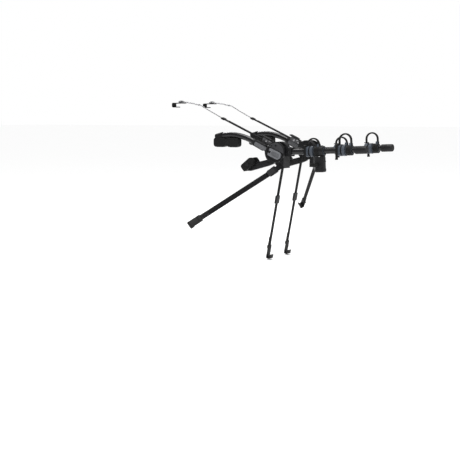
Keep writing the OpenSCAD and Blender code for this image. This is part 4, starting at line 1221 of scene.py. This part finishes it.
class RACK_OT_webbing(bpy.types.Operator):
    """Side and bottom webbing with its stitching, buckles, adjusters and bent hooks"""

    bl_idname = "rack.webbing"
    bl_label = "Webbing"

    def execute(self, context):
        side_length = (Vector(SIDE_TO) - Vector(SIDE_FROM)).length
        bottom_length = Vector(BOTTOM_TO).length
        for side in SIDES:
            rounded(f"cam_lever_{side}")
            self.run(side, f"side_strap_{side}", "side", 0, side_length, side_frame())
            self.run(side, "bottom_straps", "bottom", BOTTOM_START, bottom_length, bottom_frame())
            self.tube_loop(side)
        rounded("cam_buckles")
        rounded("slide_adjusters")
        return {"FINISHED"}

    def run(self, side, node, name, start, length, frame):
        """One strip with the sewn fold at its hook, the stitches and the hook."""
        grip = length - HOOK_GRIP
        sewn = grip - SEWN_L
        bm = bmesh.new()
        strip(bm, start, length - WEB_SHORT)
        strip(bm, sewn, grip + SEWN_IN, WEB_T)
        lay_uv(bm)
        place(bm, f"{name}_webbing_{side}", "root", "webbing", side, frame, node=node, crease=50)
        bm = bmesh.new()
        stitch_box(bm, sewn + SEAM_IN[0], grip - SEAM_IN[1])
        place(bm, f"{name}_stitches_{side}", "root", "webbing", side, frame, finish="thread")
        bm = bmesh.new()
        half = HOOK_W / 2
        bar(bm, HERE, (grip, -half, -HOOK_T), (length, half, HOOK_T), edge=1.6, steps=3)
        bent_plate(bm, length - HOOK_IN, length + HOOK_L, HOOK_W, HOOK_MOUTH, HOOK_LIP)
        place(bm, f"{name}_hook_{side}_bent", "root", "hook_coat", side, frame, node=f"{name}_hooks",
              crease=40)

    def tube_loop(self, side):
        """The bottom webbing's sewn loop round the cross tube."""
        bm = bmesh.new()
        outer = TUBE_LOOP_R + WEB_T
        lathe(bm, ring_profile(WEB_W, TUBE_LOOP_R, outer, TUBE_LOOP_EDGE),
              shift(BOTTOM_X - WEB_W / 2, 0, 0), steps=64, loop=True)
        lay_uv(bm, outer)
        place(bm, f"bottom_loop_{side}", "root", "webbing", side, node="bottom_straps", crease=50)
        bm = bmesh.new()
        strip(bm, FOLD_START, FOLD_END, WEB_T)
        lay_uv(bm)
        place(bm, f"bottom_fold_{side}", "root", "webbing", side, bottom_frame(), crease=50)
        bm = bmesh.new()
        stitch_box(bm, *FOLD_SEAM)
        place(bm, f"bottom_fold_stitches_{side}", "root", "webbing", side, bottom_frame(),
              finish="thread")


class RACK_PT_panel(bpy.types.Panel):
    """Lists the steps that dress the rack"""

    bl_idname = "RACK_PT_panel"
    bl_label = "Carrier rack"
    bl_space_type = "VIEW_3D"
    bl_region_type = "UI"
    bl_category = "Rack"

    def draw(self, context):
        for step in STEPS:
            self.layout.operator(step.bl_idname)
        for group in (context.scene.rack_sizes, context.scene.rack_colours):
            for name in group.__annotations__:
                self.layout.prop(group, name)


STEPS = (RACK_OT_stage, RACK_OT_cables, RACK_OT_hubs, RACK_OT_hub_levers, RACK_OT_upper_arms,
         RACK_OT_lower_arms, RACK_OT_carry_arms, RACK_OT_cradles, RACK_OT_top_straps, RACK_OT_webbing)
CLASSES = (RackSizes, RackColours, *STEPS, RACK_PT_panel)


def register():
    for cls in CLASSES:
        bpy.utils.register_class(cls)
    bpy.types.Scene.rack_sizes = PointerProperty(type=RackSizes)
    bpy.types.Scene.rack_colours = PointerProperty(type=RackColours)


def unregister():
    del bpy.types.Scene.rack_colours
    del bpy.types.Scene.rack_sizes
    for cls in reversed(CLASSES):
        bpy.utils.unregister_class(cls)


def main():
    register()
    FINISH.update(make_finishes())
    for step in STEPS:
        family, name = step.bl_idname.split(".")
        getattr(getattr(bpy.ops, family), name)()


if __name__ == "__main__":
    main()
